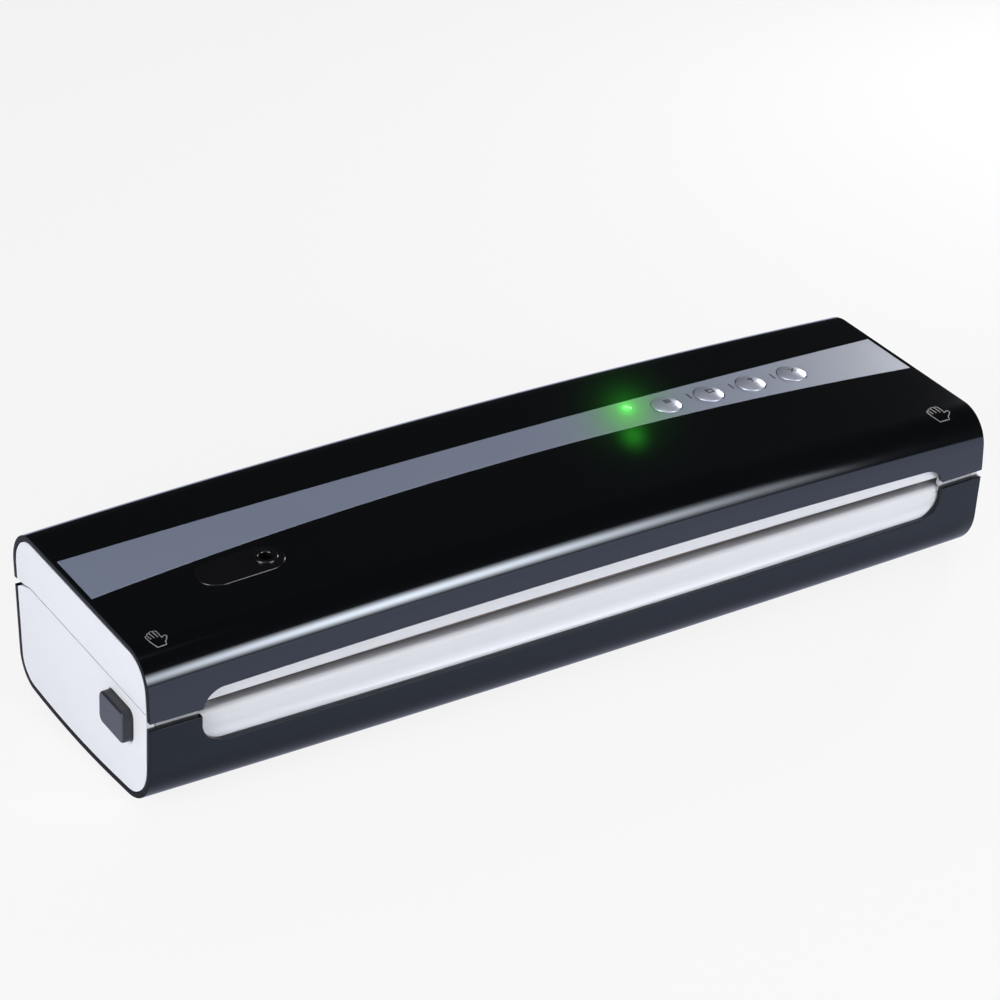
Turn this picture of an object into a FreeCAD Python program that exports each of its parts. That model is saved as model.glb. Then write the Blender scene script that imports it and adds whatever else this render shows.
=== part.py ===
import FreeCAD, Part
import math
import os
import Sketcher
from FreeCAD import Placement, Rotation, Vector

# A countertop vacuum sealer for plastic bags: a black lid hinged at the back over a black base,
# both lined with white mouldings, with a heater, a vacuum trough and a pump inside.
# +X runs along its length to the right, the bag mouth faces -Y and +Z is up. The origin is on the
# table under the middle of the body. All sizes are millimetres and degrees.

doc = FreeCAD.newDocument("vacuum_sealer")

DRIVING = {
    # outer body
    "body_length": 365.0,
    "body_depth": 107.1,
    "front_bow": 1.9,
    "top_crown": 4.2,
    "lid_tilt": 5.5,
    "lid_front_height": 61.7,
    "draft_height": 40.0,
    "front_draft": 3.9,
    "draft_blend_radius": 40.0,
    "front_top_radius": 14.3,
    "back_top_radius": 15.3,
    "front_bottom_radius": 18.4,
    "back_bottom_radius": 12.5,
    "belly_radius": 370.0,
    "belly_corner": 12.6,
    "belly_rise": 6.8,
    "foot_height": 1.2,
    "shell_wall": 2.2,
    "liner_gap": 0.3,
    "upstand_wall": 2.2,
    # seam between lid and base, measured square to the tilted seam plane
    "seam_front_height": 40.5,
    "lid_skirt": 2.2,
    "base_rim_drop": 5.0,
    "seam_gap": 0.25,
    "cap_thickness": 3.0,
    "liner_end_gap": 0.3,
    # bag mouth
    "mouth_half": 162.6,
    "mouth_floor": 23.4,
    "mouth_corner": 9.0,
    "scoop_setback": 2.95,
    "scoop_fillet": 3.2,
    "scoop_wall": 2.6,
    "lip_round": 2.2,
    "lid_mouth_half": 162.6,
    "lid_mouth_top": 45.05,
    "lid_mouth_corner": 9.0,
    "lid_mouth_arch": 2.65,
    "lid_lip_setback": 2.45,
    "lid_lip_wall": 2.2,
    "lid_lip_half": 161.9,
    "lid_lip_end": 165.0,
    "lid_lip_drop": 1.0,
    "lid_lip_arch": 0.85,
    "lid_lip_rise": 9.0,
    # deck and liner
    "deck_drop": 5.6,
    "deck_thickness": 2.5,
    "deck_end": 99.0,
    "liner_rise": 1.2,
    "liner_thickness": 2.2,
    "liner_end": 96.0,
    "trough_middle": 42.0,
    "trough_half": 140.0,
    "trough_radius": 7.5,
    "trough_depth": 7.0,
    "trough_wall": 2.0,
    "gasket_half": 144.0,
    "gasket_outer_radius": 14.0,
    "gasket_inner_radius": 9.5,
    "lower_gasket_height": 3.2,
    "upper_gasket_height": 3.2,
    # heater
    "heater_start": 8.0,
    "heater_length": 314.0,
    "heater_bar_width": 8.0,
    "heater_bar_height": 0.5,
    "heater_strip_width": 2.5,
    "heater_strip_height": 0.15,
    "heater_tape_width": 9.0,
    "heater_tape_height": 0.15,
    "pressure_strip_width": 6.0,
    "pressure_strip_height": 5.2,
    # hinge at the back
    "hinge_inset": 2.9,
    "hinge_height": 49.5,
    "hinge_middle": 120.0,
    "hinge_lug_width": 12.0,
    "hinge_ear_width": 4.0,
    "hinge_side_gap": 0.4,
    "knuckle_radius": 2.7,
    "hinge_pin_radius": 1.25,
    "hinge_pin_play": 0.05,
    # release buttons and latch hooks
    "button_middle": 21.7,
    "button_drop": 11.1,
    "button_width": 18.6,
    "button_height": 13.0,
    "button_corner": 3.0,
    "button_reach": 3.8,
    "button_travel": 2.5,
    "button_edge_round": 0.9,
    "button_play": 0.35,
    "flange_margin": 2.0,
    "flange_thickness": 2.0,
    "slide_width": 12.0,
    "slide_thickness": 1.5,
    "slide_top_drop": 8.3,
    "slide_inner_end": 150.0,
    "rail_width": 1.4,
    "rail_height": 2.4,
    "stop_thickness": 1.2,
    "stop_height": 7.0,
    "window_outer_end": 172.0,
    "window_inner_end": 166.5,
    "window_width": 8.0,
    "hook_outer_end": 171.0,
    "hook_stem": 2.5,
    "hook_beak_end": 165.2,
    "hook_beak_height": 1.2,
    "hook_width": 5.6,
    "hook_drop": 7.9,
    "hook_slot_width": 10.0,
    "spring_radius": 3.0,
    "spring_wire": 0.7,
    "spring_length": 12.0,
    "spring_rib": 2.0,
    # panel band, keys, lamp
    "band_half_length": 180.6,
    "band_front_end": -7.25,
    "band_front_middle": -0.45,
    "band_back_middle": 16.85,
    "band_back_end": 19.75,
    "band_thickness": 0.9,
    "band_play": 0.12,
    "key_first": 72.0,
    "key_pitch": 20.2,
    "key_line": 61.9,
    "key_radius": 5.9,
    "key_play": 0.35,
    "key_edge_height": 0.35,
    "key_crown": 1.7,
    "dome_flat": 0.5,
    "key_flange_radius": 7.2,
    "key_flange_top": 2.8,
    "key_flange_thickness": 0.9,
    "key_stem_radius": 2.0,
    "key_stem_foot": 17.1,
    "lamp_middle": 56.6,
    "lamp_line": 66.8,
    "lamp_radius": 1.9,
    "lamp_crown": 0.5,
    "lamp_foot": 12.6,
    "key_board_start": 48.0,
    "key_board_length": 94.0,
    "key_board_front": 54.0,
    "key_board_width": 17.0,
    "key_board_under": 10.4,
    "board_thickness": 1.6,
    "tact_size": 6.0,
    "tact_height": 3.5,
    "tact_plunger_radius": 1.75,
    "tact_plunger_height": 0.8,
    # accessory port
    "port_middle": -127.3,
    "port_line": 38.5,
    "port_half": 9.35,
    "port_radius": 7.9,
    "port_play": 0.15,
    "port_rise": 0.4,
    "port_ring_rise": 1.3,
    "port_plate_foot": 2.6,
    "port_flange_margin": 1.4,
    "port_flange_thickness": 1.4,
    "port_hole_offset": 10.3,
    "port_bore_radius": 2.5,
    "port_tube_radius": 3.6,
    "port_collar_radius": 4.5,
    "port_collar_foot": 1.0,
    # pump and hose
    "pump_axis_y": 22.0,
    "pump_axis_z": 23.0,
    "motor_start": 60.0,
    "motor_length": 31.0,
    "motor_radius": 12.2,
    "motor_boss_radius": 3.9,
    "motor_boss_length": 1.2,
    "shaft_radius": 1.0,
    "shaft_play": 0.05,
    "eccentric_radius": 6.0,
    "eccentric_throw": 1.5,
    "eccentric_start": 50.5,
    "eccentric_length": 6.5,
    "head_start": 30.0,
    "head_length": 28.3,
    "head_width": 26.0,
    "head_base": 11.0,
    "head_height": 25.0,
    "crank_room_radius": 8.6,
    "crank_room_depth": 9.3,
    "bracket_start": 34.0,
    "bracket_length": 67.0,
    "bracket_width": 34.0,
    "bracket_base": 9.0,
    "bracket_sheet": 1.2,
    "bracket_flange_top": 36.0,
    "grommet_radius": 4.0,
    "grommet_height": 1.5,
    "stud_radius": 1.5,
    "stud_spread": 9.5,
    "hose_x": 40.0,
    "hose_y": -8.4,
    "hose_low": 16.0,
    "hose_top": 27.0,
    "hose_end": 8.0,
    "hose_bend": 6.8,
    "hose_radius": 3.0,
    "hose_bore": 1.8,
    "spigot_radius": 1.75,
    "spigot_bore": 1.0,
    "spigot_end": 22.5,
    "nipple_length": 8.0,
    # boards and mains inlet
    "main_board_start": -165.0,
    "main_board_length": 100.0,
    "main_board_front": 9.0,
    "main_board_width": 34.0,
    "main_board_under": 13.0,
    "board_post_inset": 4.0,
    "board_post_radius": 2.5,
    "core_x": -155.0,
    "core_y": 13.0,
    "core_length": 30.0,
    "core_width": 24.0,
    "core_height": 18.0,
    "winding_length": 20.0,
    "winding_width": 30.0,
    "winding_height": 12.0,
    "relay_x": -115.0,
    "relay_y": 13.0,
    "relay_length": 19.0,
    "relay_width": 15.0,
    "relay_height": 15.0,
    "capacitor_x": -80.0,
    "capacitor_y": 26.0,
    "capacitor_radius": 5.0,
    "capacitor_height": 16.0,
    "inlet_x": -110.0,
    "inlet_z": 28.0,
    "inlet_width": 19.0,
    "inlet_height": 12.0,
    "inlet_depth": 13.4,
    "inlet_flange_margin": 2.5,
    "inlet_flange_start": 2.5,
    "inlet_flange_thickness": 1.5,
    "inlet_socket_half": 4.0,
    "inlet_socket_radius": 4.1,
    "inlet_socket_depth": 11.0,
    "inlet_pin_offset": 4.3,
    "inlet_pin_radius": 1.2,
    "inlet_pin_length": 9.0,
    "inlet_play": 0.2,
    # feet and screws
    "foot_radius": 6.0,
    "foot_play": 0.2,
    "foot_x": 150.0,
    "front_foot_y": -26.0,
    "back_foot_y": 30.0,
    "front_foot_seat": 2.4,
    "back_foot_seat": 5.0,
    "screw_head_radius": 3.0,
    "screw_head_height": 1.1,
    "screw_shank_radius": 1.4,
    "screw_length": 10.0,
    "screw_play": 0.2,
    "screw_sink": 0.1,
    "post_gap": 0.1,
    "boss_radius": 3.3,
    "base_screw_spread": 125.0,
    "base_screw_front": -27.0,
    "base_screw_back": 4.0,
    "lid_screw_line": 80.0,
    "lid_screw_outer": 150.0,
    "lid_screw_inner": 40.0,
}

sheet = doc.addObject("Spreadsheet::Sheet", "dims")
for row, (alias, value) in enumerate(DRIVING.items(), start=1):
    sheet.set("A%d" % row, alias)
    sheet.set("B%d" % row, str(value))
    sheet.setAlias("B%d" % row, alias)
doc.recompute()


def dim(alias):
    """A driving dimension, read from the sheet."""
    return float(sheet.get(alias))


SIDES = (("left", -1), ("right", 1))
HALF = dim("body_length") / 2
BACK = dim("body_depth") / 2
END_FRONT = -BACK + dim("front_bow")
TILT = dim("lid_tilt")
LEAN = math.tan(math.radians(TILT))
LINER_INSET = dim("shell_wall") + dim("liner_gap")
LINER_HALF = HALF - dim("cap_thickness") - dim("liner_end_gap")
HINGE_Y = BACK - dim("hinge_inset")
HINGE_Z = dim("hinge_height")
CLEAR = 60.0


# Places. The seam frame has its origin on the seam at the front face: x along the body, u back up
# the tilted seam plane, w square to that plane.

def level_place(x, y, z):
    return Placement(Vector(x, y, z), Rotation())


def seam_place(x, u, w):
    turn = Rotation(Vector(1, 0, 0), TILT)
    return Placement(Vector(0, END_FRONT, dim("seam_front_height")) + turn.multVec(Vector(x, u, w)), turn)


def seam_height(y):
    """Height of the seam plane over the table at y."""
    return dim("seam_front_height") + (y - END_FRONT) * LEAN


def lid_top(x):
    """Height of the crowned lid top over the seam plane at x."""
    rise = dim("lid_front_height") - dim("seam_front_height") + dim("top_crown") * (1 - (x / HALF) ** 2)
    return rise * math.cos(math.radians(TILT))


def top_place(x, u):
    """On the lid top, with local z square to the crowned surface."""
    slope = 2 * dim("top_crown") * x / HALF ** 2
    lean = Rotation(Vector(0, 1, 0), math.degrees(math.atan(slope)))
    return seam_place(x, u, lid_top(x)).multiply(Placement(Vector(0, 0, 0), lean))


# Shapes that the moulded shells are made with.

def block(place, length, width, height):
    shape = Part.makeBox(length, width, height)
    shape.Placement = place
    return shape


def seam_block(x0, x1, u0, u1, w0, w1):
    return block(seam_place(x0, u0, w0), x1 - x0, u1 - u0, w1 - w0)


def level_block(x0, x1, y0, y1, z0, z1):
    return block(level_place(x0, y0, z0), x1 - x0, y1 - y0, z1 - z0)


def rod(place, radius, start, end):
    """Cylinder along the local z of a place."""
    shape = Part.makeCylinder(radius, end - start)
    shape.Placement = place.multiply(level_place(0, 0, start))
    return shape


def stadium_solid(place, half, radius, start, end):
    """Prism with two straight sides and two round ends, along the local z of a place."""
    right = Vector(half, 0, start)
    left = Vector(-half, 0, start)
    side = Vector(0, radius, 0)
    tip = Vector(radius, 0, 0)
    edges = [
        Part.LineSegment(left - side, right - side).toShape(),
        Part.Arc(right - side, right + tip, right + side).toShape(),
        Part.LineSegment(right + side, left + side).toShape(),
        Part.Arc(left + side, left - tip, left - side).toShape(),
    ]
    shape = Part.Face(Part.Wire(edges)).extrude(Vector(0, 0, end - start))
    shape.Placement = place
    return shape


def end_profile(points, x0, x1):
    """Prism of a (y, z) polygon between two x."""
    wire = Part.makePolygon([Vector(x0, y, z) for y, z in points + points[:1]])
    return Part.Face(wire).extrude(Vector(x1 - x0, 0, 0))


def fuse_all(first, *others):
    return first.multiFuse(list(others)).removeSplitter()


def cut_all(base, *tools):
    return base.cut(list(tools))


# The body's end view: front face with draft, tilted top, upright back and a belly that rises to
# the back, with a round at each corner. Towards mid-length the top crowns and the front bows out.

def body_section(x, inset):
    share = 1 - (x / HALF) ** 2
    front = END_FRONT - dim("front_bow") * share
    foot = dim("foot_height")

    def top(y):
        return dim("lid_front_height") + dim("top_crown") * share + (y - END_FRONT) * LEAN

    corners = [
        (Vector(0, front + dim("front_draft"), foot), dim("front_bottom_radius")),
        (Vector(0, front, dim("draft_height")), dim("draft_blend_radius")),
        (Vector(0, front, top(front)), dim("front_top_radius")),
        (Vector(0, BACK, top(BACK)), dim("back_top_radius")),
        (Vector(0, BACK, foot + dim("belly_rise")), dim("back_bottom_radius")),
        (Vector(0, dim("belly_corner"), foot), dim("belly_radius")),
    ]
    count = len(corners)
    ways = [(corners[(i + 1) % count][0] - corners[i][0]).normalize() for i in range(count)]
    edges = []
    arcs = []
    for i in range(count):
        before = ways[i - 1]
        after = ways[i]
        inward = Vector(0, before.z, -before.y)
        half_turn = before.getAngle(after) / 2
        bisector = (after - before).normalize()
        corner = corners[i][0] + bisector * (inset / math.cos(half_turn))
        radius = corners[i][1] - inset
        reach = radius * math.tan(half_turn)
        start = corner - before * reach
        centre = start + inward * radius
        arcs.append((start, centre - bisector * radius, corner + after * reach))
    for i in range(count):
        start, middle, end = [point + Vector(x, 0, 0) for point in arcs[i]]
        following = arcs[(i + 1) % count][0] + Vector(x, 0, 0)
        edges.append(Part.Arc(start, middle, end).toShape())
        edges.append(Part.LineSegment(end, following).toShape())
    return Part.Wire(edges)


def body_solid(inset, reach):
    """The whole body moved in by inset, as a loft that ends reach past the shell's ends."""
    places = (-HALF - reach, 0, HALF + reach)
    return Part.makeLoft([body_section(x, inset) for x in places], True, False)


OUTER_BODY = body_solid(0, 0)
SHELL_ROOM = body_solid(dim("shell_wall"), 1)
LINER_BODY = body_solid(LINER_INSET, 1)
UPSTAND_ROOM = body_solid(LINER_INSET + dim("upstand_wall"), 1)
BAND_FLOOR = body_solid(dim("band_thickness"), 1)
SHELL_WALL = OUTER_BODY.cut(SHELL_ROOM)
LONG = HALF + CLEAR
ABOVE_LID_EDGE = seam_block(-LONG, LONG, -CLEAR, 3 * CLEAR, -dim("lid_skirt"), 2 * CLEAR)
BELOW_BASE_RIM = seam_block(-LONG, LONG, -CLEAR, 3 * CLEAR, -2 * CLEAR, -dim("base_rim_drop"))


def mouth_prism(half, level, corner, way, y0, y1, arch=0):
    """Front cutout with rounded corners at level, open upwards (way 1) or downwards (way -1).
    Its level edge may rise by arch in the middle."""
    far = level + way * CLEAR
    bend = corner * (1 - math.sqrt(0.5))
    outline = [
        Vector(half, y0, far),
        Vector(half, y0, level + way * corner),
        Vector(half - bend, y0, level + way * bend),
        Vector(half - corner, y0, level),
    ]
    mirrored = [Vector(-p.x, p.y, p.z) for p in outline]
    level_edge = Part.LineSegment(outline[3], mirrored[3])
    if arch:
        level_edge = Part.Arc(outline[3], Vector(0, y0, level + arch), mirrored[3])
    edges = [
        Part.LineSegment(outline[0], outline[1]).toShape(),
        Part.Arc(outline[1], outline[2], outline[3]).toShape(),
        level_edge.toShape(),
        Part.Arc(mirrored[3], mirrored[2], mirrored[1]).toShape(),
        Part.LineSegment(mirrored[1], mirrored[0]).toShape(),
        Part.LineSegment(mirrored[0], outline[0]).toShape(),
    ]
    return Part.Face(Part.Wire(edges)).extrude(Vector(0, y1 - y0, 0))


def button_opening(start, end):
    """Rounded opening in an end cap that the release button slides in."""
    margin = 2 * dim("button_play")
    width = dim("button_width") + margin
    height = dim("button_height") + margin
    hole = block(level_place(start, -width / 2, -height / 2), end - start, width, height)
    upright = [e for e in hole.Edges if abs(e.tangentAt(e.FirstParameter).x) > 0.9]
    hole = hole.makeFillet(dim("button_corner") + dim("button_play"), upright)
    hole.Placement = seam_place(0, dim("button_middle"), -dim("button_drop"))
    return hole


def add_shape(label, shape):
    """A sub-part whose shape is worked out above from the sheet."""
    feature = doc.addObject("Part::Feature", label)
    feature.Label = label
    feature.Shape = shape
    feature.Placement = Placement()
    return feature


# Helpers for sketched sub-parts. Sizes given as text are expressions on the sheet.

def new_body(label, place):
    body = doc.addObject("PartDesign::Body", label)
    body.Label = label
    body.Placement = place
    return body


def new_sketch(body, role, offset=0.0):
    plane = [item for item in body.Origin.OriginFeatures if item.Role == role][0]
    sketch = body.newObject("Sketcher::SketchObject", body.Name + "_sketch")
    sketch.AttachmentSupport = [(plane, "")]
    sketch.MapMode = "FlatFace"
    sketch.AttachmentOffset = level_place(0, 0, offset)
    return sketch


def draw_lines(sketch, points):
    """Closed outline of straight lines, given as (x, y) points."""
    corners = [Vector(x, y, 0) for x, y in points]
    first = sketch.GeometryCount
    for i in range(len(corners)):
        sketch.addGeometry(Part.LineSegment(corners[i - 1], corners[i]), False)
    for i in range(len(corners)):
        following = first + (i + 1) % len(corners)
        sketch.addConstraint(Sketcher.Constraint("Coincident", first + i, 2, following, 1))


def draw_circle(sketch, x, y, radius):
    centre = Vector(x, y, 0)
    index = sketch.addGeometry(Part.Circle(centre, Vector(0, 0, 1), 1.0), False)
    number = sketch.addConstraint(Sketcher.Constraint("Radius", index, 1.0))
    sketch.setExpression("Constraints[%d]" % number, radius)


def draw_stadium(sketch, half, radius):
    """Outline with two straight sides and two round ends about the sketch's origin."""
    quarter = math.pi / 2
    up = Vector(0, 0, 1)
    right = Part.ArcOfCircle(Part.Circle(Vector(half, 0, 0), up, radius), -quarter, quarter)
    left = Part.ArcOfCircle(Part.Circle(Vector(-half, 0, 0), up, radius), quarter, 3 * quarter)
    sketch.addGeometry(right, False)
    sketch.addGeometry(left, False)
    sketch.addGeometry(Part.LineSegment(Vector(half, radius, 0), Vector(-half, radius, 0)), False)
    sketch.addGeometry(Part.LineSegment(Vector(-half, -radius, 0), Vector(half, -radius, 0)), False)


def draw_round_box(sketch, width, height, corner):
    """Rectangle with round corners about the sketch's origin."""
    up = Vector(0, 0, 1)
    x = width / 2 - corner
    y = height / 2 - corner
    turn = math.pi / 2
    spots = ((x, y), (-x, y), (-x, -y), (x, -y))
    arcs = []
    for i in range(4):
        circle = Part.Circle(Vector(spots[i][0], spots[i][1], 0), up, corner)
        arcs.append(Part.ArcOfCircle(circle, i * turn, (i + 1) * turn))
    for i in range(4):
        sketch.addGeometry(arcs[i], False)
        following = arcs[(i + 1) % 4]
        sketch.addGeometry(Part.LineSegment(arcs[i].EndPoint, following.StartPoint), False)


def pad(body, sketch, length, reverse=False):
    feature = body.newObject("PartDesign::Pad", body.Name + "_pad")
    feature.Profile = sketch
    feature.setExpression("Length", length)
    feature.Reversed = reverse
    return feature


def pocket(body, sketch, length, reverse=False):
    feature = body.newObject("PartDesign::Pocket", body.Name + "_pocket")
    feature.Profile = sketch
    feature.setExpression("Length", length)
    feature.Reversed = reverse
    return feature


def revolve(body, sketch):
    feature = body.newObject("PartDesign::Revolution", body.Name + "_turn")
    feature.Profile = sketch
    feature.ReferenceAxis = (sketch, ["V_Axis"])
    feature.Angle = 360.0
    return feature


def add_box(label, place, length, width, height):
    box = doc.addObject("Part::Box", label)
    box.Label = label
    box.setExpression("Length", length)
    box.setExpression("Width", width)
    box.setExpression("Height", height)
    box.Placement = place
    return box


def add_cylinder(label, place, radius, height):
    cylinder = doc.addObject("Part::Cylinder", label)
    cylinder.Label = label
    cylinder.setExpression("Radius", radius)
    cylinder.setExpression("Height", height)
    cylinder.Placement = place
    return cylinder


def add_cut(label, base, tool):
    cut = doc.addObject("Part::Cut", label)
    cut.Label = label
    cut.Base = base
    cut.Tool = tool
    return cut


def add_fuse(label, pieces):
    fuse = doc.addObject("Part::MultiFuse", label)
    fuse.Label = label
    fuse.Shapes = pieces
    return fuse


def add_group(label, pieces):
    """Several like solids in one sub-part."""
    group = doc.addObject("Part::Compound", label)
    group.Label = label
    group.Links = pieces
    return group


# Base screws: six from below into posts under the deck. Their seats are cut into shell and deck.

def belly_height(y):
    """Height of the shell's underside over the table at y, on its flat or on the belly's curve."""
    turn = math.atan2(dim("belly_rise"), BACK - dim("belly_corner"))
    start = dim("belly_corner") - dim("belly_radius") * math.tan(turn / 2)
    past = max(y - start, 0)
    return dim("foot_height") + dim("belly_radius") - math.sqrt(dim("belly_radius") ** 2 - past ** 2)


BASE_SCREWS = [
    (x, y, belly_height(y) + dim("screw_head_height") + dim("screw_sink"))
    for x in (-dim("base_screw_spread"), 0.0, dim("base_screw_spread"))
    for y in (dim("base_screw_front"), dim("base_screw_back"))
]
FEET = [
    (side * dim("foot_x"), y, seat)
    for label, side in SIDES
    for y, seat in (("front_foot_y", "front_foot_seat"), ("back_foot_y", "back_foot_seat"))
]
PUMP_STUDS = [
    (x, y)
    for x in (dim("bracket_start") + 6, dim("bracket_start") + dim("bracket_length") - 6)
    for y in (dim("pump_axis_y") - dim("stud_spread"), dim("pump_axis_y") + dim("stud_spread"))
]
BOARD_POSTS = [
    (dim("main_board_start") + dx, dim("main_board_front") + dy)
    for dx in (dim("board_post_inset"), dim("main_board_length") - dim("board_post_inset"))
    for dy in (dim("board_post_inset"), dim("main_board_width") - dim("board_post_inset"))
]


# Base shell: black wrap-under cover with the mouth cutout, foot seats, posts and the inlet opening.

def make_base_shell():
    shape = SHELL_WALL.common(BELOW_BASE_RIM)
    mouth = mouth_prism(dim("mouth_half"), dim("mouth_floor"), dim("mouth_corner"), 1, -BACK - CLEAR, 0)
    posts = []
    seat_top = dim("bracket_base") - dim("grommet_height")
    for x, y in PUMP_STUDS:
        place = level_place(x, y, 0)
        posts.append(rod(place, dim("grommet_radius"), 0, seat_top).common(OUTER_BODY))
        posts.append(rod(place, dim("stud_radius"), seat_top - 0.5, dim("bracket_base") + 1.8))
    for x, y in BOARD_POSTS:
        post = rod(level_place(x, y, 0), dim("board_post_radius"), 0, dim("main_board_under"))
        posts.append(post.common(OUTER_BODY))
    shape = fuse_all(shape, *posts)
    tools = [mouth]
    for x, y, seat in BASE_SCREWS:
        place = level_place(x, y, 0)
        tools.append(rod(place, dim("screw_head_radius") + dim("screw_play"), 0, seat))
        tools.append(rod(place, dim("screw_shank_radius") + dim("screw_play"), 0, seat + 3))
    for x, y, seat in FEET:
        tools.append(rod(level_place(x, dim(y), 0), dim("foot_radius") + dim("foot_play"), 0, dim(seat)))
    half_width = dim("inlet_width") / 2 + dim("inlet_play")
    half_height = dim("inlet_height") / 2 + dim("inlet_play")
    tools.append(level_block(
        dim("inlet_x") - half_width, dim("inlet_x") + half_width, BACK - 10, BACK + 10,
        dim("inlet_z") - half_height, dim("inlet_z") + half_height))
    return cut_all(shape, *tools)


# Base deck: white inner moulding. A scooped front wall makes the lower lip of the mouth, a trough
# in the middle is the vacuum chamber, lugs at the back carry the hinge.

def make_base_deck():
    deck_top = -dim("deck_drop")
    deck_under = deck_top - dim("deck_thickness")
    below_deck_top = seam_block(-LONG, LONG, -CLEAR, 3 * CLEAR, -2 * CLEAR, deck_top)
    plate = seam_block(-LINER_HALF, LINER_HALF, -CLEAR, dim("deck_end"), deck_under, deck_top)
    plate = plate.common(LINER_BODY)
    scoop_y = END_FRONT + dim("scoop_setback")
    scoop_floor = dim("mouth_floor") - dim("scoop_wall")
    lip_half = dim("mouth_half") + dim("upstand_wall")
    lip_back = scoop_y + dim("scoop_wall")
    lip = level_block(-lip_half, lip_half, -BACK - 1, lip_back, scoop_floor, CLEAR)
    lip = lip.common(below_deck_top).common(LINER_BODY)
    upstand = LINER_BODY.cut(UPSTAND_ROOM)
    walls = []
    for label, side in SIDES:
        inner = side * (dim("mouth_half") + 0.6)
        outer = side * LINER_HALF
        zone = seam_block(min(inner, outer), max(inner, outer), -CLEAR, 12, deck_under, -dim("seam_gap"))
        walls.append(upstand.common(zone))
        rib = side * (dim("slide_inner_end") - dim("spring_length"))
        rib_low = -dim("slide_top_drop") - 9
        rib_start = min(rib, rib - side * dim("spring_rib"))
        middle = dim("button_middle")
        walls.append(seam_block(
            rib_start, rib_start + dim("spring_rib"), middle - 6, middle + 6, rib_low, deck_under + 0.5))
        walls.append(hinge_knuckle(side * dim("hinge_middle"), dim("hinge_lug_width")))
        lug = side * dim("hinge_middle") - dim("hinge_lug_width") / 2
        walls.append(level_block(
            lug, lug + dim("hinge_lug_width"), HINGE_Y - 4, HINGE_Y + 0.2, HINGE_Z - 8.5, HINGE_Z))
    trough = seam_place(0, dim("trough_middle"), 0)
    tub_radius = dim("trough_radius") + dim("trough_wall")
    trough_floor = deck_top - dim("trough_depth")
    walls.append(stadium_solid(
        trough, dim("trough_half"), tub_radius, trough_floor - dim("trough_wall"), deck_top - 0.5))
    post_room = body_solid(dim("shell_wall") + dim("post_gap"), 0)
    post_room = post_room.common(seam_block(-LONG, LONG, -CLEAR, 3 * CLEAR, -2 * CLEAR, deck_top - 1))
    for x, y, seat in BASE_SCREWS:
        walls.append(rod(level_place(x, y, 0), dim("boss_radius"), 0, CLEAR).common(post_room))
    spigot = level_place(dim("hose_x"), dim("hose_y"), 0)
    walls.append(rod(spigot, dim("spigot_radius"), dim("spigot_end"), dim("hose_top") + 4))
    shape = fuse_all(plate, lip, *walls)
    scoop = mouth_prism(dim("mouth_half"), dim("mouth_floor"), dim("mouth_corner"), 1, -BACK - CLEAR, scoop_y)
    inner_edges = [
        e for e in scoop.Edges
        if abs(e.CenterOfMass.y - scoop_y) < 0.01 and e.CenterOfMass.z < dim("mouth_floor") + CLEAR - 1
    ]
    scoop = scoop.makeFillet(dim("scoop_fillet"), inner_edges)
    scoop = scoop.common(below_deck_top.fuse(seam_block(
        -dim("mouth_half"), dim("mouth_half"), -CLEAR, 2, deck_top - 1, CLEAR)))
    tools = [
        scoop,
        stadium_solid(trough, dim("trough_half"), dim("trough_radius"), trough_floor, CLEAR),
        rod(spigot, dim("spigot_bore"), 0, CLEAR),
    ]
    for label, side in SIDES:
        outer = side * (dim("window_outer_end") + 0.5)
        inner = side * (dim("window_inner_end") - 2.5)
        half_slot = dim("hook_slot_width") / 2
        middle = dim("button_middle")
        tools.append(seam_block(
            min(outer, inner), max(outer, inner), middle - half_slot, middle + half_slot,
            deck_under - 1, deck_top + 1))
        room_half = dim("button_width") / 2 + dim("flange_margin") + 1
        room_end = side * (HALF - dim("cap_thickness") - dim("flange_thickness") - dim("button_travel") - 1)
        tools.append(seam_block(
            min(room_end, side * LONG), max(room_end, side * LONG), middle - room_half, middle + room_half,
            deck_under - 1, deck_top + 1))
        reach = dim("hinge_pin_radius") + dim("hinge_pin_play")
        tools.append(hinge_rod(side * dim("hinge_middle"), dim("hinge_lug_width") + 2, reach))
    for x, y, seat in BASE_SCREWS:
        hole_end = seat + dim("screw_length") + 1
        tools.append(rod(level_place(x, y, 0), dim("screw_shank_radius"), 0, hole_end))
    tools.append(lip_rounding(scoop_y))
    return cut_all(shape, *tools)


def lip_rounding(front):
    """What the round along the lower lip takes off, between the scoop and the deck's top."""
    radius = dim("lip_round")
    corner = Vector(0, front, seam_height(front) - dim("deck_drop") / math.cos(math.radians(TILT)))
    uphill = Vector(0, math.cos(math.radians(TILT)), math.sin(math.radians(TILT)))
    reach = radius * math.tan(math.radians(90 - TILT) / 2)
    low = corner - Vector(0, 0, reach)
    high = corner + uphill * reach
    centre = low + Vector(0, radius, 0)
    middle = centre + (corner - centre).normalize() * radius
    over = Vector(0, 0, 1)
    outside = Vector(0, 1, 0)
    points = [high, high + over, corner + over - outside, low - outside, low]
    edges = [Part.LineSegment(a, b).toShape() for a, b in zip(points[:-1], points[1:])]
    edges.append(Part.Arc(low, middle, high).toShape())
    profile = Part.Face(Part.Wire(edges))
    profile.translate(Vector(-dim("mouth_half"), 0, 0))
    return profile.extrude(Vector(2 * dim("mouth_half"), 0, 0))


def hinge_rod(middle, width, radius):
    """Cylinder on the hinge axis, centred on middle."""
    turn = Rotation(Vector(0, 1, 0), 90)
    return rod(Placement(Vector(middle, HINGE_Y, HINGE_Z), turn), radius, -width / 2, width / 2)


def hinge_knuckle(middle, width):
    return hinge_rod(middle, width, dim("knuckle_radius"))


# End caps: white plates that close the shells' ends flush. The base caps stand up inside the lid's
# skirt to the seam and fall away at the back, where the lid's back edge swings.

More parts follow.
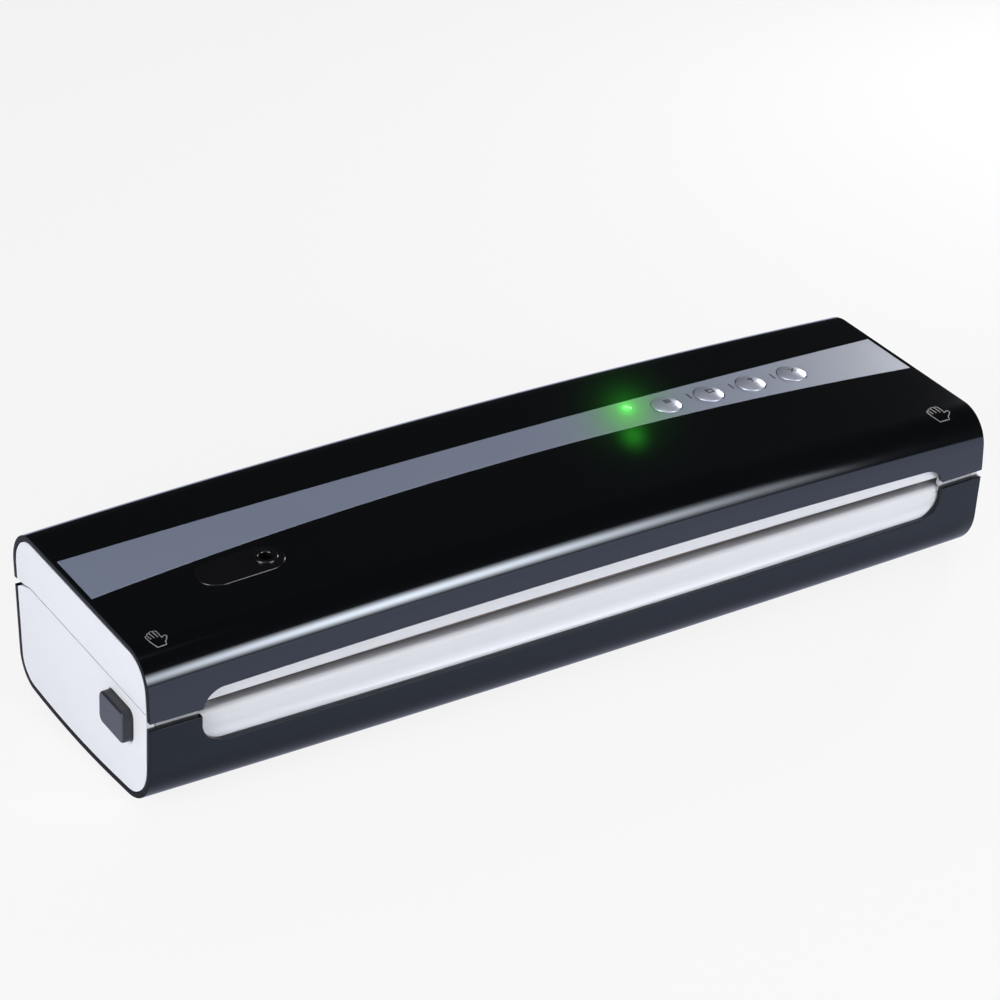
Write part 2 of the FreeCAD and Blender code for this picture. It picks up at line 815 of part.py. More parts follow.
SEAM_BREAK = END_FRONT + 92.0


def base_cap_profile():
    top = -dim("seam_gap")
    return [
        (-BACK - 5, seam_height(-BACK - 5) + top),
        (SEAM_BREAK, seam_height(SEAM_BREAK) + top),
        (HINGE_Y - 3.2, HINGE_Z - 2.0),
        (HINGE_Y + 1.0, HINGE_Z - 4.1),
        (BACK + 5, HINGE_Z - 4.1),
        (BACK + 5, -5),
        (-BACK - 5, -5),
    ]


def lid_cap_profile():
    low = dim("seam_gap")
    return [
        (-BACK - 5, seam_height(-BACK - 5) + low),
        (SEAM_BREAK, seam_height(SEAM_BREAK) + low),
        (HINGE_Y - 3.0, HINGE_Z - 0.9),
        (BACK + 5, HINGE_Z - 0.9),
        (BACK + 5, 90),
        (-BACK - 5, 90),
    ]


def make_cap(side, profile):
    outer = side * HALF
    inner = side * (HALF - dim("cap_thickness"))
    zone = end_profile(profile, min(outer, inner), max(outer, inner))
    return LINER_BODY.common(zone)


# Lid shell: glossy black wrap-over cover with the upper mouth cutout, the let-in for the panel
# band, holes for keys, lamp and port, and two notches at the back for the hinge knuckles.

KEY_NAMES = ("mode_key", "seal_key", "vacuum_key", "cancel_key")
KEY_PLACES = [
    (label, top_place(dim("key_first") + i * dim("key_pitch"), dim("key_line")))
    for i, label in enumerate(KEY_NAMES)
]
LAMP_PLACE = top_place(dim("lamp_middle"), dim("lamp_line"))
PORT_PLACE = top_place(dim("port_middle"), dim("port_line"))
LID_SCREWS = [side * x for label, side in SIDES for x in (dim("lid_screw_outer"), dim("lid_screw_inner"))]
LINER_TOP = dim("liner_rise") + dim("liner_thickness")


def band_prism(play):
    """Waisted plan of the panel band, wider at both ends."""
    half = dim("band_half_length") + play
    low = dim("seam_front_height")
    front_end = Vector(half, dim("band_front_end") - play, low)
    back_end = Vector(half, dim("band_back_end") + play, low)
    front_middle = Vector(0, dim("band_front_middle") - play, low)
    back_middle = Vector(0, dim("band_back_middle") + play, low)
    front_start = Vector(-half, front_end.y, low)
    back_start = Vector(-half, back_end.y, low)
    edges = [
        Part.Arc(front_start, front_middle, front_end).toShape(),
        Part.LineSegment(front_end, back_end).toShape(),
        Part.Arc(back_end, back_middle, back_start).toShape(),
        Part.LineSegment(back_start, front_start).toShape(),
    ]
    return Part.Face(Part.Wire(edges)).extrude(Vector(0, 0, 2 * CLEAR))


def make_lid_shell():
    shape = SHELL_WALL.common(ABOVE_LID_EDGE)
    boss_root = body_solid(dim("shell_wall") / 2, 0)
    bosses = []
    for x in LID_SCREWS:
        boss = rod(seam_place(x, dim("lid_screw_line"), 0), dim("boss_radius"), LINER_TOP + 0.05, CLEAR)
        bosses.append(boss.common(boss_root))
    shape = fuse_all(shape, *bosses)
    let_in = OUTER_BODY.cut(BAND_FLOOR).common(band_prism(dim("band_play")))
    mouth = mouth_prism(
        dim("lid_mouth_half"), dim("lid_mouth_top"), dim("lid_mouth_corner"), -1, -BACK - CLEAR, -BACK / 2,
        dim("lid_mouth_arch"))
    tools = [
        mouth,
        let_in,
        rod(LAMP_PLACE, dim("lamp_radius") + dim("band_play"), -6, 6),
        stadium_solid(PORT_PLACE, dim("port_half"), dim("port_radius"), -6, 6),
    ]
    for label, place in KEY_PLACES:
        tools.append(rod(place, dim("key_radius") + dim("key_play"), -6, 6))
    notch = dim("hinge_lug_width") / 2 + dim("hinge_side_gap") + dim("hinge_ear_width") + 0.8
    for label, side in SIDES:
        middle = side * dim("hinge_middle")
        tools.append(level_block(middle - notch, middle + notch, HINGE_Y - 10, BACK + 5, 0, HINGE_Z + 3.8))
    for x in LID_SCREWS:
        tools.append(rod(
            seam_place(x, dim("lid_screw_line"), 0), dim("screw_shank_radius"), 0,
            LINER_TOP + dim("screw_length") + 1))
    return cut_all(shape, *tools)


def make_panel_band():
    shape = OUTER_BODY.cut(BAND_FLOOR).common(band_prism(0))
    tools = [rod(LAMP_PLACE, dim("lamp_radius") + dim("band_play"), -6, 6)]
    for label, place in KEY_PLACES:
        tools.append(rod(place, dim("key_radius") + dim("key_play"), -6, 6))
    return cut_all(shape, *tools)


# Lid liner: white plate under the lid with the upper lip of the mouth at the front, a turned-down
# edge and hinge ears at the back, and posts for the key board.

BOARD_FEET = [
    (dim("key_board_start") + dx, dim("key_board_front") + du)
    for dx in (4.0, dim("key_board_length") - 4.0)
    for du in (3.0, dim("key_board_width") - 3.0)
]


def lip_arch(front):
    """What the upper lip's lower edge loses where it rises towards the middle."""
    low = seam_height(front) - dim("lid_lip_drop") / math.cos(math.radians(TILT))
    end = Vector(dim("lid_lip_half"), front - 1, low)
    start = Vector(-end.x, end.y, low)
    middle = Vector(0, end.y, low + dim("lid_lip_arch"))
    edges = [Part.Arc(start, middle, end).toShape(), Part.LineSegment(end, start).toShape()]
    return Part.Face(Part.Wire(edges)).extrude(Vector(0, dim("lid_lip_wall") + 2, 0))


def make_lid_liner():
    under = dim("liner_rise")
    plate = seam_block(-LINER_HALF, LINER_HALF, -CLEAR, dim("liner_end"), under, LINER_TOP)
    lip_y = END_FRONT + dim("lid_lip_setback")
    plate = plate.common(LINER_BODY).common(level_block(-LONG, LONG, lip_y, 2 * CLEAR, -CLEAR, 3 * CLEAR))
    lip_back = lip_y + dim("lid_lip_wall")
    lip = level_block(-dim("lid_lip_end"), dim("lid_lip_end"), lip_y, lip_back, 0, 2 * CLEAR)
    lip_half = dim("lid_lip_half")
    lip_top = dim("lid_lip_rise")
    lip_room = fuse_all(
        seam_block(-LONG, LONG, -CLEAR, CLEAR, dim("seam_gap"), lip_top),
        seam_block(-lip_half, lip_half, -CLEAR, CLEAR, -dim("lid_lip_drop"), lip_top))
    pieces = [lip.common(lip_room).cut(lip_arch(lip_y))]
    lug_room = dim("hinge_lug_width") / 2 + dim("hinge_side_gap")
    flange_low = HINGE_Z - 1.8
    flange_high = HINGE_Z + 3.0
    flange_y = HINGE_Y - 4.2
    inner = dim("hinge_middle") - lug_room
    outer = dim("hinge_middle") + lug_room
    for start, end in ((-LINER_HALF, -outer), (-inner, inner), (outer, LINER_HALF)):
        pieces.append(level_block(start, end, flange_y, flange_y + 1.6, flange_low, flange_high))
    for label, side in SIDES:
        for way in (-1, 1):
            gap = lug_room + dim("hinge_ear_width") / 2
            middle = side * dim("hinge_middle") + way * gap
            start = middle - dim("hinge_ear_width") / 2
            end = middle + dim("hinge_ear_width") / 2
            pieces.append(hinge_knuckle(middle, dim("hinge_ear_width")))
            pieces.append(level_block(
                start, end, HINGE_Y - 8, HINGE_Y + 0.3, HINGE_Z + 0.4, HINGE_Z + 2.69))
    for x, u in BOARD_FEET:
        pieces.append(rod(seam_place(x, u, 0), 2.0, LINER_TOP - 0.5, dim("key_board_under")))
    shape = fuse_all(plate, *pieces)
    tube_hole = PORT_PLACE.multiply(level_place(dim("port_hole_offset"), 0, 0))
    tools = [rod(tube_hole, dim("port_tube_radius") + 0.1, -CLEAR, 0)]
    for x in LID_SCREWS:
        place = seam_place(x, dim("lid_screw_line"), 0)
        tools.append(rod(place, dim("screw_shank_radius") + dim("screw_play"), 0, 10))
        tools.append(rod(
            place, dim("screw_head_radius") + dim("screw_play"), 0, under + dim("screw_head_height")))
    for label, side in SIDES:
        pin_reach = dim("hinge_lug_width") + 2 * (dim("hinge_ear_width") + dim("hinge_side_gap")) + 2
        tools.append(hinge_rod(side * dim("hinge_middle"), pin_reach, dim("hinge_pin_radius")))
    return cut_all(shape, *tools)


add_shape("base_shell", make_base_shell())
add_shape("base_deck", make_base_deck())
add_shape("lid_shell", make_lid_shell())
add_shape("lid_liner", make_lid_liner())
add_shape("panel_band", make_panel_band())
for name, side in SIDES:
    opening = button_opening(min(side * HALF, 0) - 5, max(side * HALF, 0) + 5)
    add_shape("base_cap_" + name, make_cap(side, base_cap_profile()).cut(opening))
    add_shape("lid_cap_" + name, make_cap(side, lid_cap_profile()))


# Gaskets: foam rings, one on the deck around the trough and one under the liner facing it.

def make_gasket(label, start, height, reverse):
    gasket = new_body(label, seam_place(0, dim("trough_middle"), start))
    ring = new_sketch(gasket, "XY_Plane")
    draw_stadium(ring, dim("gasket_half"), dim("gasket_outer_radius"))
    draw_stadium(ring, dim("gasket_half"), dim("gasket_inner_radius"))
    pad(gasket, ring, height, reverse)


make_gasket("lower_gasket", -dim("deck_drop"), "dims.lower_gasket_height", False)
make_gasket("upper_gasket", dim("liner_rise"), "dims.upper_gasket_height", True)


# Heater: bar glued to the deck, resistance strip along it, brown tape over both, and the soft
# pressure strip under the lid that presses the bag down on it.

heater_x = -dim("heater_length") / 2
bar_middle = dim("heater_start") + dim("heater_tape_width") / 2
bar_top = -dim("deck_drop") + dim("heater_bar_height")
strip_top = bar_top + dim("heater_strip_height")
add_box(
    "heater_bar", seam_place(heater_x, bar_middle - dim("heater_bar_width") / 2, -dim("deck_drop")),
    "dims.heater_length", "dims.heater_bar_width", "dims.heater_bar_height")
add_box(
    "heater_strip", seam_place(heater_x, bar_middle - dim("heater_strip_width") / 2, bar_top),
    "dims.heater_length", "dims.heater_strip_width", "dims.heater_strip_height")
add_box(
    "heater_tape", seam_place(heater_x, dim("heater_start"), strip_top),
    "dims.heater_length", "dims.heater_tape_width", "dims.heater_tape_height")
add_box(
    "pressure_strip",
    seam_place(
        heater_x, bar_middle - dim("pressure_strip_width") / 2,
        dim("liner_rise") - dim("pressure_strip_height")),
    "dims.heater_length", "dims.pressure_strip_width", "dims.pressure_strip_height")


# Release buttons: a rounded black head in the end cap, a flange behind the cap, and a slide with a
# window whose inner edge is the catch for the lid's hook. A spring pushes each one outwards.

def make_release_button(label, side):
    button = new_body(label, seam_place(0, dim("button_middle"), -dim("button_drop")))
    outward = side > 0
    face = HALF + dim("button_reach")
    flange_at = HALF - dim("cap_thickness") - 0.3
    head = new_sketch(button, "YZ_Plane", side * face)
    draw_round_box(head, dim("button_width"), dim("button_height"), dim("button_corner"))
    head_length = "dims.button_reach + dims.cap_thickness + 0.3 + dims.flange_thickness"
    pad(button, head, head_length, outward)
    flange = new_sketch(button, "YZ_Plane", side * flange_at)
    margin = 2 * dim("flange_margin")
    draw_round_box(
        flange, dim("button_width") + margin, dim("button_height") + margin - 2, dim("button_corner"))
    pad(button, flange, "dims.flange_thickness", outward)
    slide = new_sketch(button, "YZ_Plane", side * (flange_at - dim("flange_thickness") / 2))
    slide_top = dim("button_drop") - dim("slide_top_drop")
    half_slide = dim("slide_width") / 2
    slide_foot = slide_top - dim("slide_thickness")
    rail = dim("rail_width")
    rail_foot = slide_foot - dim("rail_height")
    draw_lines(slide, [
        (-half_slide, slide_top),
        (-half_slide, rail_foot),
        (-half_slide + rail, rail_foot),
        (-half_slide + rail, slide_foot),
        (half_slide - rail, slide_foot),
        (half_slide - rail, rail_foot),
        (half_slide, rail_foot),
        (half_slide, slide_top),
    ])
    slide_reach = flange_at - dim("flange_thickness") / 2 - dim("slide_inner_end")
    pad(button, slide, str(slide_reach), outward)
    stop = new_sketch(button, "YZ_Plane", side * (dim("slide_inner_end") + dim("stop_thickness")))
    stop_foot = slide_top - dim("stop_height")
    draw_lines(stop, [
        (-half_slide, slide_top),
        (-half_slide, stop_foot),
        (half_slide, stop_foot),
        (half_slide, slide_top),
    ])
    pad(button, stop, "dims.stop_thickness", outward)
    window = new_sketch(button, "XY_Plane", slide_top + 1)
    half_window = dim("window_width") / 2
    draw_lines(window, [
        (side * dim("window_outer_end"), -half_window),
        (side * dim("window_outer_end"), half_window),
        (side * dim("window_inner_end"), half_window),
        (side * dim("window_inner_end"), -half_window),
    ])
    cut = pocket(button, window, "dims.slide_thickness + 2")
    doc.recompute()
    front_edges = []
    for i, edge in enumerate(cut.Shape.Edges, start=1):
        if all(abs(abs(vertex.X) - face) < 0.01 for vertex in edge.Vertexes):
            front_edges.append("Edge%d" % i)
    rounding = button.newObject("PartDesign::Fillet", label + "_round")
    rounding.Base = (cut, front_edges)
    rounding.setExpression("Radius", "dims.button_edge_round")
    return button


for name, side in SIDES:
    make_release_button("release_button_" + name, side)
    spring_start = dim("slide_inner_end") - dim("spring_length")
    spring_x = spring_start if side > 0 else -dim("slide_inner_end")
    spring_place = seam_place(spring_x, dim("button_middle"), -dim("slide_top_drop") - 3.6)
    spring_place = spring_place.multiply(Placement(Vector(0, 0, 0), Rotation(Vector(0, 1, 0), 90)))
    coil = add_cylinder("spring_outside_" + name, spring_place, "dims.spring_radius", "dims.spring_length")
    hollow = add_cylinder(
        "spring_inside_" + name, spring_place, "dims.spring_radius - dims.spring_wire", "dims.spring_length")
    add_cut("release_spring_" + name, coil, hollow)


# Latch hooks: one under each end of the liner, beak pointing to the middle of the body.

def make_hook(label, side):
    hook = new_body(label, seam_place(0, dim("button_middle") + dim("hook_width") / 2, 0))
    profile = new_sketch(hook, "XZ_Plane")
    outer = side * dim("hook_outer_end")
    stem = side * (dim("hook_outer_end") - dim("hook_stem"))
    beak = side * dim("hook_beak_end")
    draw_lines(profile, [
        (outer, dim("liner_rise")),
        (outer, -dim("hook_drop")),
        (stem, -dim("hook_drop")),
        (beak, -dim("hook_drop") + dim("hook_beak_height")),
        (stem, -dim("hook_drop") + 2 * dim("hook_beak_height")),
        (stem, dim("liner_rise")),
    ])
    pad(hook, profile, "dims.hook_width")
    return hook


add_group("latch_hooks", [make_hook("latch_hook_" + label, side) for label, side in SIDES])


# Hinge pins: pressed into the liner's ears, turning in the deck's lugs.

def make_hinge_pin(label, side):
    length = dim("hinge_lug_width") + 2 * (dim("hinge_ear_width") + dim("hinge_side_gap"))
    start = side * dim("hinge_middle") - length / 2
    place = Placement(Vector(start, HINGE_Y, HINGE_Z), Rotation(Vector(0, 1, 0), 90))
    return add_cylinder(
        label, place, "dims.hinge_pin_radius",
        "dims.hinge_lug_width + 2 * (dims.hinge_ear_width + dims.hinge_side_gap)")


add_group("hinge_pins", [make_hinge_pin("hinge_pin_" + label, side) for label, side in SIDES])


# Keys: silver caps with a shallow dome, a flange under the shell and a stem that reaches down to
# its switch on the key board. The signal lamp beside them is a clear light guide of the same kind.

def turn_domed(label, place, wall, crown):
    """Turned piece: wall is its (radius, height) outline from the foot up to the rim, under a dome."""
    body = new_body(label, place)
    profile = new_sketch(body, "XZ_Plane")
    outline = [Vector(0, crown, 0), Vector(0, wall[0][1], 0)]
    outline += [Vector(radius, height, 0) for radius, height in wall]
    for start, end in zip(outline[:-1], outline[1:]):
        profile.addGeometry(Part.LineSegment(start, end), False)
    rim = outline[-1]
    flat = Vector(dim("dome_flat"), crown, 0)
    bulge = Vector(rim.x * 0.62, rim.y + (crown - rim.y) * 0.74, 0)
    profile.addGeometry(Part.Arc(rim, bulge, flat), False)
    profile.addGeometry(Part.LineSegment(flat, outline[0]), False)
    revolve(body, profile)


flange_top = -dim("key_flange_top")
flange_foot = flange_top - dim("key_flange_thickness")
for i, (name, place) in enumerate(KEY_PLACES):
    stem_foot = dim("key_stem_foot") - lid_top(dim("key_first") + i * dim("key_pitch"))
    key_wall = [
        (dim("key_stem_radius"), stem_foot),
        (dim("key_stem_radius"), flange_foot),
        (dim("key_flange_radius"), flange_foot),
        (dim("key_flange_radius"), flange_top),
        (dim("key_radius"), flange_top),
        (dim("key_radius"), dim("key_edge_height")),
    ]
    turn_domed(name, place, key_wall, dim("key_crown"))
lamp_foot = dim("lamp_foot") - lid_top(dim("lamp_middle"))
lamp_wall = [(dim("lamp_radius"), lamp_foot), (dim("lamp_radius"), 0.0)]
turn_domed("lamp_lens", LAMP_PLACE, lamp_wall, dim("lamp_crown"))


# Key board with one tact switch under each key.

add_box(
    "key_board", seam_place(dim("key_board_start"), dim("key_board_front"), dim("key_board_under")),
    "dims.key_board_length", "dims.key_board_width", "dims.board_thickness")
tacts = []
for i in range(len(KEY_NAMES)):
    board_top = dim("key_board_under") + dim("board_thickness")
    tact_x = dim("key_first") + i * dim("key_pitch")
    half_tact = dim("tact_size") / 2
    case = add_box(
        "tact_case_%d" % i, seam_place(tact_x - half_tact, dim("key_line") - half_tact, board_top),
        "dims.tact_size", "dims.tact_size", "dims.tact_height")
    plunger = add_cylinder(
        "tact_plunger_%d" % i, seam_place(tact_x, dim("key_line"), board_top),
        "dims.tact_plunger_radius", "dims.tact_height + dims.tact_plunger_height")
    tacts.append(add_fuse("tact_%d" % i, [case, plunger]))
add_group("tact_switches", tacts)


# Accessory port: oblong insert a little proud of the lid, with a collared bore that leads through the
# liner into the vacuum chamber.

port = new_body("accessory_port", PORT_PLACE)
port_plate = new_sketch(port, "XY_Plane", -dim("port_plate_foot"))
draw_stadium(port_plate, dim("port_half"), dim("port_radius") - dim("port_play"))
pad(port, port_plate, "dims.port_plate_foot + dims.port_rise")
port_flange = new_sketch(port, "XY_Plane", -dim("port_plate_foot"))
draw_stadium(port_flange, dim("port_half"), dim("port_radius") + dim("port_flange_margin"))
pad(port, port_flange, "dims.port_flange_thickness", True)
port_ring = new_sketch(port, "XY_Plane", dim("port_ring_rise"))
draw_circle(port_ring, dim("port_hole_offset"), 0, "dims.port_tube_radius")
port_reach = lid_top(dim("port_middle")) - dim("liner_rise")
pad(port, port_ring, "dims.port_ring_rise + %.3f" % (port_reach - 0.3), True)
port_collar = new_sketch(port, "XY_Plane", dim("port_ring_rise"))
draw_circle(port_collar, dim("port_hole_offset"), 0, "dims.port_collar_radius")
pad(port, port_collar, "dims.port_ring_rise + dims.port_collar_foot", True)
port_bore = new_sketch(port, "XY_Plane", 2.0)
draw_circle(port_bore, dim("port_hole_offset"), 0, "dims.port_bore_radius")
pocket(port, port_bore, "%.3f" % (port_reach + 11))


# Pump: bracket on rubber grommets, motor on its flange, head in front of it, and the rotor with the
# eccentric that drives the diaphragm inside the head.

AXIS_TURN = Rotation(Vector(0, 1, 0), 90)


def pump_axis(x):
    return Placement(Vector(x, dim("pump_axis_y"), dim("pump_axis_z")), AXIS_TURN)


bracket_y = dim("pump_axis_y") - dim("bracket_width") / 2
bracket = new_body("pump_bracket", level_place(0, 0, 0))
bracket_plate = new_sketch(bracket, "XY_Plane", dim("bracket_base"))
bracket_end = dim("bracket_start") + dim("bracket_length")
draw_lines(bracket_plate, [
    (dim("bracket_start"), bracket_y),
    (bracket_end, bracket_y),
    (bracket_end, bracket_y + dim("bracket_width")),
    (dim("bracket_start"), bracket_y + dim("bracket_width")),
])
for x, y in PUMP_STUDS:
    draw_circle(bracket_plate, x, y, "dims.stud_radius + 0.2")
pad(bracket, bracket_plate, "dims.bracket_sheet")
flange_x = dim("motor_start") - dim("bracket_sheet")
bracket_flange = new_sketch(bracket, "YZ_Plane", flange_x)
draw_lines(bracket_flange, [
    (bracket_y + 3, dim("bracket_base")),
    (bracket_y + dim("bracket_width") - 3, dim("bracket_base")),
    (bracket_y + dim("bracket_width") - 3, dim("bracket_flange_top")),
    (bracket_y + 3, dim("bracket_flange_top")),
])
draw_circle(bracket_flange, dim("pump_axis_y"), dim("pump_axis_z"), "dims.motor_boss_radius + 0.1")
pad(bracket, bracket_flange, "dims.bracket_sheet")

motor = new_body("pump_motor", pump_axis(dim("motor_start")))
can = new_sketch(motor, "XY_Plane")
draw_circle(can, 0, 0, "dims.motor_radius")
draw_circle(can, 0, 0, "dims.shaft_radius + dims.shaft_play")
pad(motor, can, "dims.motor_length")
boss = new_sketch(motor, "XY_Plane")
draw_circle(boss, 0, 0, "dims.motor_boss_radius")
draw_circle(boss, 0, 0, "dims.shaft_radius + dims.shaft_play")
pad(motor, boss, "dims.motor_boss_length", True)

rotor = new_body("motor_rotor", pump_axis(dim("eccentric_start")))
shaft = new_sketch(rotor, "XY_Plane")
draw_circle(shaft, 0, 0, "dims.shaft_radius")
pad(rotor, shaft, "dims.motor_start - dims.eccentric_start + dims.motor_length + 1.5")
disc = new_sketch(rotor, "XY_Plane")
draw_circle(disc, 0, dim("eccentric_throw"), "dims.eccentric_radius")
pad(rotor, disc, "dims.eccentric_length")

head = new_body("pump_head", level_place(dim("head_start"), dim("pump_axis_y"), dim("head_base")))
head_block = new_sketch(head, "YZ_Plane")
half_head = dim("head_width") / 2
draw_lines(head_block, [
    (-half_head, 0), (half_head, 0), (half_head, dim("head_height")), (-half_head, dim("head_height"))])
pad(head, head_block, "dims.head_length")
crank_room = new_sketch(head, "YZ_Plane", dim("head_length"))
draw_circle(crank_room, 0, dim("pump_axis_z") - dim("head_base"), "dims.crank_room_radius")
pocket(head, crank_room, "dims.crank_room_depth")
nipple = new_sketch(head, "XZ_Plane", half_head - 1)
nipple_x = dim("hose_x") - dim("head_start")
nipple_z = dim("hose_low") - dim("head_base")
draw_circle(nipple, nipple_x, nipple_z, "dims.spigot_radius")
pad(head, nipple, "dims.nipple_length + 1")
nipple_bore = new_sketch(head, "XZ_Plane", half_head + dim("nipple_length"))
draw_circle(nipple_bore, nipple_x, nipple_z, "dims.spigot_bore")
pocket(head, nipple_bore, "dims.nipple_length + 4")

grommets = []
for i, (x, y) in enumerate(PUMP_STUDS):
    place = level_place(x, y, dim("bracket_base") - dim("grommet_height"))
    ring = add_cylinder("grommet_ring_%d" % i, place, "dims.grommet_radius", "dims.grommet_height")
    eye = add_cylinder("grommet_eye_%d" % i, place, "dims.stud_radius + 0.1", "dims.grommet_height")
    grommets.append(add_cut("grommet_%d" % i, ring, eye))
add_group("pump_grommets", grommets)


# Suction hose: soft tube from the trough's spigot, round one bend to the pump head.

hose = new_body("suction_hose", level_place(dim("hose_x"), 0, 0))
route = new_sketch(hose, "YZ_Plane")
bend = dim("hose_bend")
bend_start = Vector(dim("hose_y"), dim("hose_low") + bend, 0)
bend_end = Vector(dim("hose_y") + bend, dim("hose_low"), 0)
bend_cut = bend * (1 - math.sqrt(0.5))
bend_middle = Vector(dim("hose_y") + bend_cut, dim("hose_low") + bend_cut, 0)
route.addGeometry(Part.LineSegment(Vector(dim("hose_y"), dim("hose_top"), 0), bend_start), False)
route.addGeometry(Part.Arc(bend_start, bend_middle, bend_end), False)
route.addGeometry(Part.LineSegment(bend_end, Vector(dim("hose_end"), dim("hose_low"), 0)), False)
tube = new_sketch(hose, "XY_Plane", dim("hose_top"))
draw_circle(tube, 0, dim("hose_y"), "dims.hose_radius")
draw_circle(tube, 0, dim("hose_y"), "dims.hose_bore")
hose_pipe = hose.newObject("PartDesign::AdditivePipe", "suction_hose_pipe")
hose_pipe.Profile = tube
hose_pipe.Spine = (route, ["Edge1", "Edge2", "Edge3"])


# Main board with its transformer, relay and capacitor.

add_box(
    "main_board", level_place(dim("main_board_start"), dim("main_board_front"), dim("main_board_under")),
    "dims.main_board_length", "dims.main_board_width", "dims.board_thickness")
main_top = dim("main_board_under") + dim("board_thickness")
core_place = level_place(dim("core_x"), dim("core_y"), main_top)
core = add_box(
    "transformer_core", core_place, "dims.core_length", "dims.core_width", "dims.core_height")
winding_inset = (dim("core_length") - dim("winding_length")) / 2
winding_over = (dim("winding_width") - dim("core_width")) / 2
winding_lift = (dim("core_height") - dim("winding_height")) / 2
winding = add_box(
    "transformer_winding", core_place.multiply(level_place(winding_inset, -winding_over, winding_lift)),
    "dims.winding_length", "dims.winding_width", "dims.winding_height")
add_fuse("transformer", [core, winding])
add_box(
    "relay", level_place(dim("relay_x"), dim("relay_y"), main_top),
    "dims.relay_length", "dims.relay_width", "dims.relay_height")
add_cylinder(
    "capacitor", level_place(dim("capacitor_x"), dim("capacitor_y"), main_top),
    "dims.capacitor_radius", "dims.capacitor_height")


# Mains inlet: two-pin socket in the back wall, held by a flange behind the wall.

INLET_PLACE = level_place(dim("inlet_x"), BACK - 0.15, dim("inlet_z"))
inlet = new_body("power_inlet", INLET_PLACE)
housing = new_sketch(inlet, "XZ_Plane")
draw_round_box(housing, dim("inlet_width"), dim("inlet_height"), 1.0)
pad(inlet, housing, "dims.inlet_depth")
collar = new_sketch(inlet, "XZ_Plane", dim("inlet_flange_start"))
margin = 2 * dim("inlet_flange_margin")
draw_round_box(collar, dim("inlet_width") + margin, dim("inlet_height") + margin, 1.0)
pad(inlet, collar, "dims.inlet_flange_thickness")
socket = new_sketch(inlet, "XZ_Plane")
draw_stadium(socket, dim("inlet_socket_half"), dim("inlet_socket_radius"))
pocket(inlet, socket, "dims.inlet_socket_depth", True)
pins = []
for name, side in SIDES:
    pin_place = Placement(
        Vector(
            dim("inlet_x") + side * dim("inlet_pin_offset"),
            BACK - 0.15 - dim("inlet_socket_depth"), dim("inlet_z")),
        Rotation(Vector(1, 0, 0), -90))
    pins.append(add_cylinder(
        "inlet_pin_" + name, pin_place, "dims.inlet_pin_radius", "dims.inlet_pin_length"))
add_group("inlet_pins", pins)


# Feet and screws.

feet = []
for i, (x, y, seat) in enumerate(FEET):
    feet.append(add_cylinder("foot_%d" % i, level_place(x, dim(y), 0), "dims.foot_radius", "dims." + seat))
add_group("feet", feet)


def make_screw(label, place):
    """Screw with its head at the place's origin and its shank along local z."""
    head = add_cylinder(label + "_head", place, "dims.screw_head_radius", "dims.screw_head_height")
    shank = add_cylinder(
        label + "_shank", place, "dims.screw_shank_radius", "dims.screw_head_height + dims.screw_length")
    return add_fuse(label, [head, shank])


add_group("base_screws", [
    make_screw("base_screw_%d" % i, level_place(x, y, seat - dim("screw_head_height")))
    for i, (x, y, seat) in enumerate(BASE_SCREWS)
])
add_group("lid_screws", [
    make_screw("lid_screw_%d" % i, seam_place(x, dim("lid_screw_line"), dim("liner_rise")))
    for i, x in enumerate(LID_SCREWS)
])

doc.recompute()

NODES = [
    "base_shell", "base_deck", "base_cap_left", "base_cap_right", "lower_gasket", "heater_bar",
    "heater_strip", "heater_tape", "pump_motor", "pump_head", "pump_bracket", "pump_grommets",
    "suction_hose", "main_board", "transformer", "relay", "capacitor", "power_inlet", "inlet_pins",
    "feet", "base_screws", "release_spring_left", "release_spring_right", "lid_shell", "lid_liner",
    "lid_cap_left", "lid_cap_right", "panel_band", "upper_gasket", "pressure_strip", "lamp_lens",
    "key_board", "tact_switches", "accessory_port", "latch_hooks", "hinge_pins", "lid_screws",
    "release_button_left", "release_button_right", "motor_rotor",
] + list(KEY_NAMES)

for item in doc.Objects:
    if "Invalid" in item.State or "Error" in item.State:
        raise RuntimeError("%s failed: %s" % (item.Label, item.State))
os.makedirs("parts", exist_ok=True)
for node in NODES:
    shape = doc.getObjectsByLabel(node)[0].Shape
    if shape.isNull() or not shape.isValid() or not shape.Solids:
        raise RuntimeError("%s has no valid solid" % node)
    shape.exportStep("parts/%s.step" % node)
    print("%-22s solids %d  volume %10.1f" % (node, len(shape.Solids), shape.Volume))
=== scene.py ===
import math

import bmesh
import bpy
import numpy as np
from mathutils import Matrix, Vector


